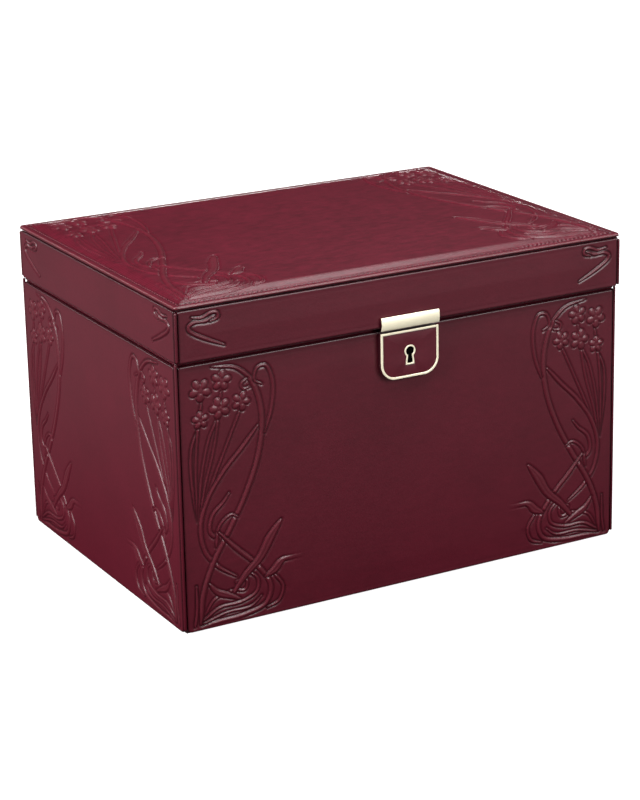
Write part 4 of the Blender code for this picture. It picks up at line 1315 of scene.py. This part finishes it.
glass_low, glass_high = box_mm("mirror_glass")
turn = np.linspace(0, math.pi / 2, 6)
deep = frame_high[2] - frame_low[2]
border = glass_low[0] - frame_low[0]
over = 1.2
section = [(0.15, 0.0), (0.15, deep - 1.5)]
section += [(0.15 + 1.5 * (1 - math.cos(a)), deep - 1.5 + 1.5 * math.sin(a)) for a in turn]
section += [(border + over - 1.5 * (1 - math.sin(a)), deep - 1.5 * (1 - math.cos(a))) for a in turn]
section += [(border + over, deep - 1.6), (border - 0.1, deep - 1.6), (border - 0.1, 0.0)]
frame_path = rectangle(frame_low[:2], frame_high[:2], 8.0)
frame_axes = ((1, 0, 0), (0, 1, 0), (0, 0, -1))
points, faces = carried(frame_path, section, (0, 0, frame_high[2] * MM), *frame_axes)
put("mirror_surround", points, faces, "lid", piping, ["mirror_frame"])
inset = border - 1.0
seam_low, seam_high = frame_low[:2] + inset, frame_high[:2] - inset
centres, along = seam_around(seam_low, seam_high, frame_low[2] - 0.05, STITCH_PITCH)
down = np.array([0.0, 0.0, -1.0])
points, faces = stitches(centres, along, np.cross(down, along), down)
put("mirror_stitches", points * MM, faces, "lid", wine_thread)


def mirror_finish():
    """Silvered glass: nearly white metal, with the faintest haze of handling."""
    made, tree, shader = new_finish("mirror_silver")
    haze = node(tree, "ShaderNodeTexNoise", in_Scale=18.0, in_Detail=3.0)
    tree.links.new(scaled_place(tree, 1.0), haze.inputs["Vector"])
    tones = ((0.86, 0.87, 0.87), (0.93, 0.94, 0.94))
    tree.links.new(ramp(tree, haze.outputs["Fac"], 0.3, 0.7, tones), shader.inputs["Base Color"])
    tree.links.new(sums(tree, "MULTIPLY", haze.outputs["Fac"], 0.03), shader.inputs["Roughness"])
    shader.inputs["Metallic"].default_value = 1.0
    return made


mirror_silver = mirror_finish()
BEVEL = 7.0
edge = rectangle(glass_low[:2], glass_high[:2], 20.0)
centre = (glass_low[:2] + glass_high[:2]) / 2
half = (glass_high[:2] - glass_low[:2]) / 2
rings = []
for inset, level in ((0, glass_high[2]), (0, glass_low[2] + 0.9), (BEVEL, glass_low[2] + 0.35)):
    rings.append(np.column_stack([centre + (edge - centre) * (1 - inset / half), np.full(len(edge), level)]))
points = np.vstack([*rings, [(*centre, glass_high[2])], [(*centre, glass_low[2] + 0.35)]])
faces = capped(3, len(edge))
put("mirror_pane", points * MM, faces, "lid", mirror_silver, ["mirror_glass"], smooth=False)

# ---------------------------------------------------------------- tray
# A lift-out tray of suede-covered card, with four dividers, a ring cushion and two leather pulls.

for name in ("tray_floor", "tray_wall_front", "tray_wall_back", "tray_wall_left", "tray_wall_right"):
    covered(name, wine_suede, 1.3)
for name in ("tray_divider", "tray_cross_divider"):
    covered(f"{name}_left", wine_suede, 1.45)
    covered(f"{name}_right", wine_suede, 1.45)

# ---------------------------------------------------------------- ring cushion
# Five foam rolls in suede stand side by side, and rings are pushed down between them.

ROLLS = 5
cushion_low, cushion_high = box_mm("ring_cushion")
pitch = (cushion_high[1] - cushion_low[1]) / ROLLS
rolls = []
for k in range(ROLLS):
    low = (cushion_low[0] + 1.2, cushion_low[1] + k * pitch + 0.9, cushion_low[2] + 0.1)
    high = (cushion_high[0] - 1.2, cushion_low[1] + (k + 1) * pitch - 0.9, cushion_high[2] - 1.2)
    rolls.append(rounded_box(low, high, pitch / 2 - 0.95, step=3.2))
points, faces = joined(*rolls)
cushion = put("ring_rolls", points * MM, faces, "tray", wine_suede, ["ring_cushion"])
swelled(cushion, 0.0011, held=points_of(cushion)[:, 2] < cushion_low[2] + 1.5)
smoothed(cushion)

# ---------------------------------------------------------------- tray pulls
# A folded leather tab stitched inside each end wall of the tray.

for side, sign in (("left", -1), ("right", 1)):
    covered(f"tray_pull_{side}", burgundy, 0.55, step=3.0)
    low, high = box_mm(f"tray_pull_{side}")
    inner = high[0] if sign < 0 else low[0]
    row = np.arange(low[2] + 2.5, 152.5, 2.9)
    centres = np.array([(inner, y, z) for y in (low[1] + 2, high[1] - 2) for z in row])
    across = np.arange(low[1] + 4.2, high[1] - 3, 2.9)
    foot = np.array([(inner, y, low[2] + 2) for y in across])
    along = np.vstack([np.tile((0.0, 0, 1), (len(centres), 1)), np.tile((0.0, 1, 0), (len(foot), 1))])
    up = np.array([-sign, 0.0, 0.0])
    points, faces = stitches(np.vstack([centres, foot]), along, np.cross(up, along), up, 2.0, 0.26)
    put(f"tray_pull_stitches_{side}", points * MM, faces, "tray", wine_thread)

# ---------------------------------------------------------------- hinge screws
# Two countersunk slotted screws hold each wing of each leaf.

SCREW_HEAD = 1.5


def screw_head(x, y, level, up):
    """A low dome with a sunk slot: height 0.28 (1 - r^2), less 0.25 where the point lies in the slot."""
    radius = np.array([0.0001, 0.35, 0.6, 0.85, 1.0])[:, None]
    count = 24
    turn = np.linspace(0, 2 * math.pi, count + 1)[:-1][None, :]
    px, py = SCREW_HEAD * radius * np.cos(turn), SCREW_HEAD * radius * np.sin(turn)
    slot = np.abs(px * 0.8 + py * 0.6) < 0.2
    rise = 0.28 * (1 - radius**2) - 0.25 * slot
    top = np.stack([x + px, y + py, level + up * (0.03 + rise)], -1).reshape(-1, 3)
    skirt = np.stack([x + px[-1], y + py[-1], np.full(count, level - up * 0.15)], -1)
    points = np.vstack([top, skirt, [(x, y, level - up * 0.15)]])
    ring, after = np.arange(count), (np.arange(count) + 1) % count
    outer, lower = 4 * count, 5 * count
    side = np.stack([ring + outer, after + outer, after + lower, ring + lower], 1)
    return points, [grid_faces(5, count, wrap_columns=True), side, fan_faces(ring + lower, 6 * count)]


for part, up in (("case", 1), ("lid", -1)):
    heads = []
    for word in ("left", "right"):
        low, high = box_mm(f"hinge_leaf_{part}_{word}")
        level = HINGE_Z - LEAF_OFF * up + LEAF_HALF * up
        share = KNUCKLE_SHARE * (high[0] - low[0]) if part == "lid" else 0
        for x in (low[0] + share + 5, high[0] - share - 5):
            heads.append(screw_head(x, low[1] + 3.2, level, up))
    points, faces = joined(*heads)
    put(f"hinge_screws_{part}", points * MM, faces, part, zinc)

# ---------------------------------------------------------------- studio
# A pale floor and a white surround that the camera sees, and soft lights. Both stay dark to the
# leather itself, so that its gloss shows only the lights.


def seen_and_lit(tree, seen, lit):
    """Mixes two shaders by Light Path: `seen` for the camera's rays, `lit` for all others."""
    path = node(tree, "ShaderNodeLightPath")
    mix = node(tree, "ShaderNodeMixShader")
    tree.links.new(path.outputs["Is Camera Ray"], mix.inputs["Fac"])
    tree.links.new(lit.outputs[0], mix.inputs[1])
    tree.links.new(seen.outputs[0], mix.inputs[2])
    return mix.outputs["Shader"]


floor_mesh = bpy.data.meshes.new("studio_floor")
floor_mesh.from_pydata([(-3, -3, 0), (3, -3, 0), (3, 3, 0), (-3, 3, 0)], [], [(0, 1, 2, 3)])
studio_floor = bpy.data.objects.new("studio_floor", floor_mesh)
bpy.context.scene.collection.objects.link(studio_floor)
floor_finish, tree, shader = new_finish("studio_paper")
shader.inputs["Base Color"].default_value = (0.35, 0.35, 0.35, 1)
shader.inputs["Roughness"].default_value = 0.95
shader.inputs["Specular IOR Level"].default_value = 0.0
shader.inputs["Emission Color"].default_value = (1, 1, 1, 1)
distance = node(tree, "ShaderNodeVectorMath", operation="LENGTH")
tree.links.new(scaled_place(tree, 1.0), distance.inputs[0])
away = node(tree, "ShaderNodeMapRange", in_From_Min=0.06, in_From_Max=0.6, interpolation_type="SMOOTHSTEP")
tree.links.new(distance.outputs["Value"], away.inputs["Value"])
glow = sums(tree, "ADD", sums(tree, "MULTIPLY", away.outputs["Result"], 0.2), 0.84)
tree.links.new(glow, shader.inputs["Emission Strength"])
under = node(tree, "ShaderNodeEmission")
tree.links.new(sums(tree, "MULTIPLY", away.outputs["Result"], 0.22), under.inputs["Strength"])
tree.links.new(seen_and_lit(tree, shader, under), tree.nodes["Material Output"].inputs["Surface"])
floor_mesh.materials.append(floor_finish)

world = bpy.data.worlds.new("studio_surround")
bpy.context.scene.world = world
world.use_nodes = True
tree = world.node_tree
backdrop = tree.nodes["Background"]
backdrop.inputs["Color"].default_value = (1, 1, 1, 1)
backdrop.inputs["Strength"].default_value = 1.0
room = node(tree, "ShaderNodeBackground", in_Color=(1, 0.98, 0.98, 1), in_Strength=0.02)
tree.links.new(seen_and_lit(tree, backdrop, room), tree.nodes["World Output"].inputs["Surface"])


def softbox(name, place, target, size, power):
    """A rectangular area light aimed at a point."""
    light = bpy.data.lights.new(name, "AREA")
    light.shape = "RECTANGLE"
    light.size, light.size_y = size
    light.energy = power
    made = bpy.data.objects.new(name, light)
    made.location = place
    made.rotation_euler = (Vector(target) - Vector(place)).to_track_quat("-Z", "Y").to_euler()
    bpy.context.scene.collection.objects.link(made)
    return made


softbox("overhead_box", (0.1, -0.4, 1.7), (0, 0, 0.1), (1.5, 1.0), 35)
softbox("left_box", (-1.7, -0.3, 0.9), (0, 0, 0.1), (0.9, 1.2), 58)
softbox("front_box", (0.9, -2.0, 1.1), (0, 0, 0.1), (1.2, 1.0), 39)
softbox("low_front_card", (0.80, -1.40, 0.32), (0, -0.1, 0.16), (0.6, 0.3), 0.8)
softbox("back_right_box", (0.75, 0.88, 1.45), (0, 0, 0.19), (0.5, 0.3), 3)
softbox("back_left_box", (-0.95, 1.5, 0.9), (0, 0, 0.1), (0.4, 0.4), 5)
low_back = softbox("low_back_box", (0.45, 1.3, 0.10), (0, 0, 0.10), (1.1, 0.16), 10)
low_right = softbox("low_right_box", (1.3, 0.3, 0.10), (0, 0, 0.10), (0.8, 0.16), 6)
low_back.visible_camera = low_right.visible_camera = False

CAMERA_PLACE = Vector((-0.6801, -1.2441, 0.5489))
CAMERA_TURN, CAMERA_DIP, CAMERA_ROLL = -0.5207, 0.2926, -0.0155
flat = math.cos(CAMERA_DIP)
back = Vector((math.sin(CAMERA_TURN) * flat, -math.cos(CAMERA_TURN) * flat, math.sin(CAMERA_DIP)))
level_right = (-back).cross(Vector((0, 0, 1))).normalized()
level_up = level_right.cross(-back)
right = math.cos(CAMERA_ROLL) * level_right + math.sin(CAMERA_ROLL) * level_up
up = -math.sin(CAMERA_ROLL) * level_right + math.cos(CAMERA_ROLL) * level_up
lens = bpy.data.cameras.new("studio_camera")
lens.lens = 110.25
lens.sensor_width = 36
lens.shift_x, lens.shift_y = -0.0556, -0.0782
lens.clip_end = 20
camera = bpy.data.objects.new("studio_camera", lens)
camera.matrix_world = Matrix([[right[i], up[i], back[i], CAMERA_PLACE[i]] for i in range(3)] + [[0, 0, 0, 1]])
bpy.context.scene.collection.objects.link(camera)
bpy.context.scene.camera = camera
bpy.context.scene.view_settings.view_transform = "Standard"
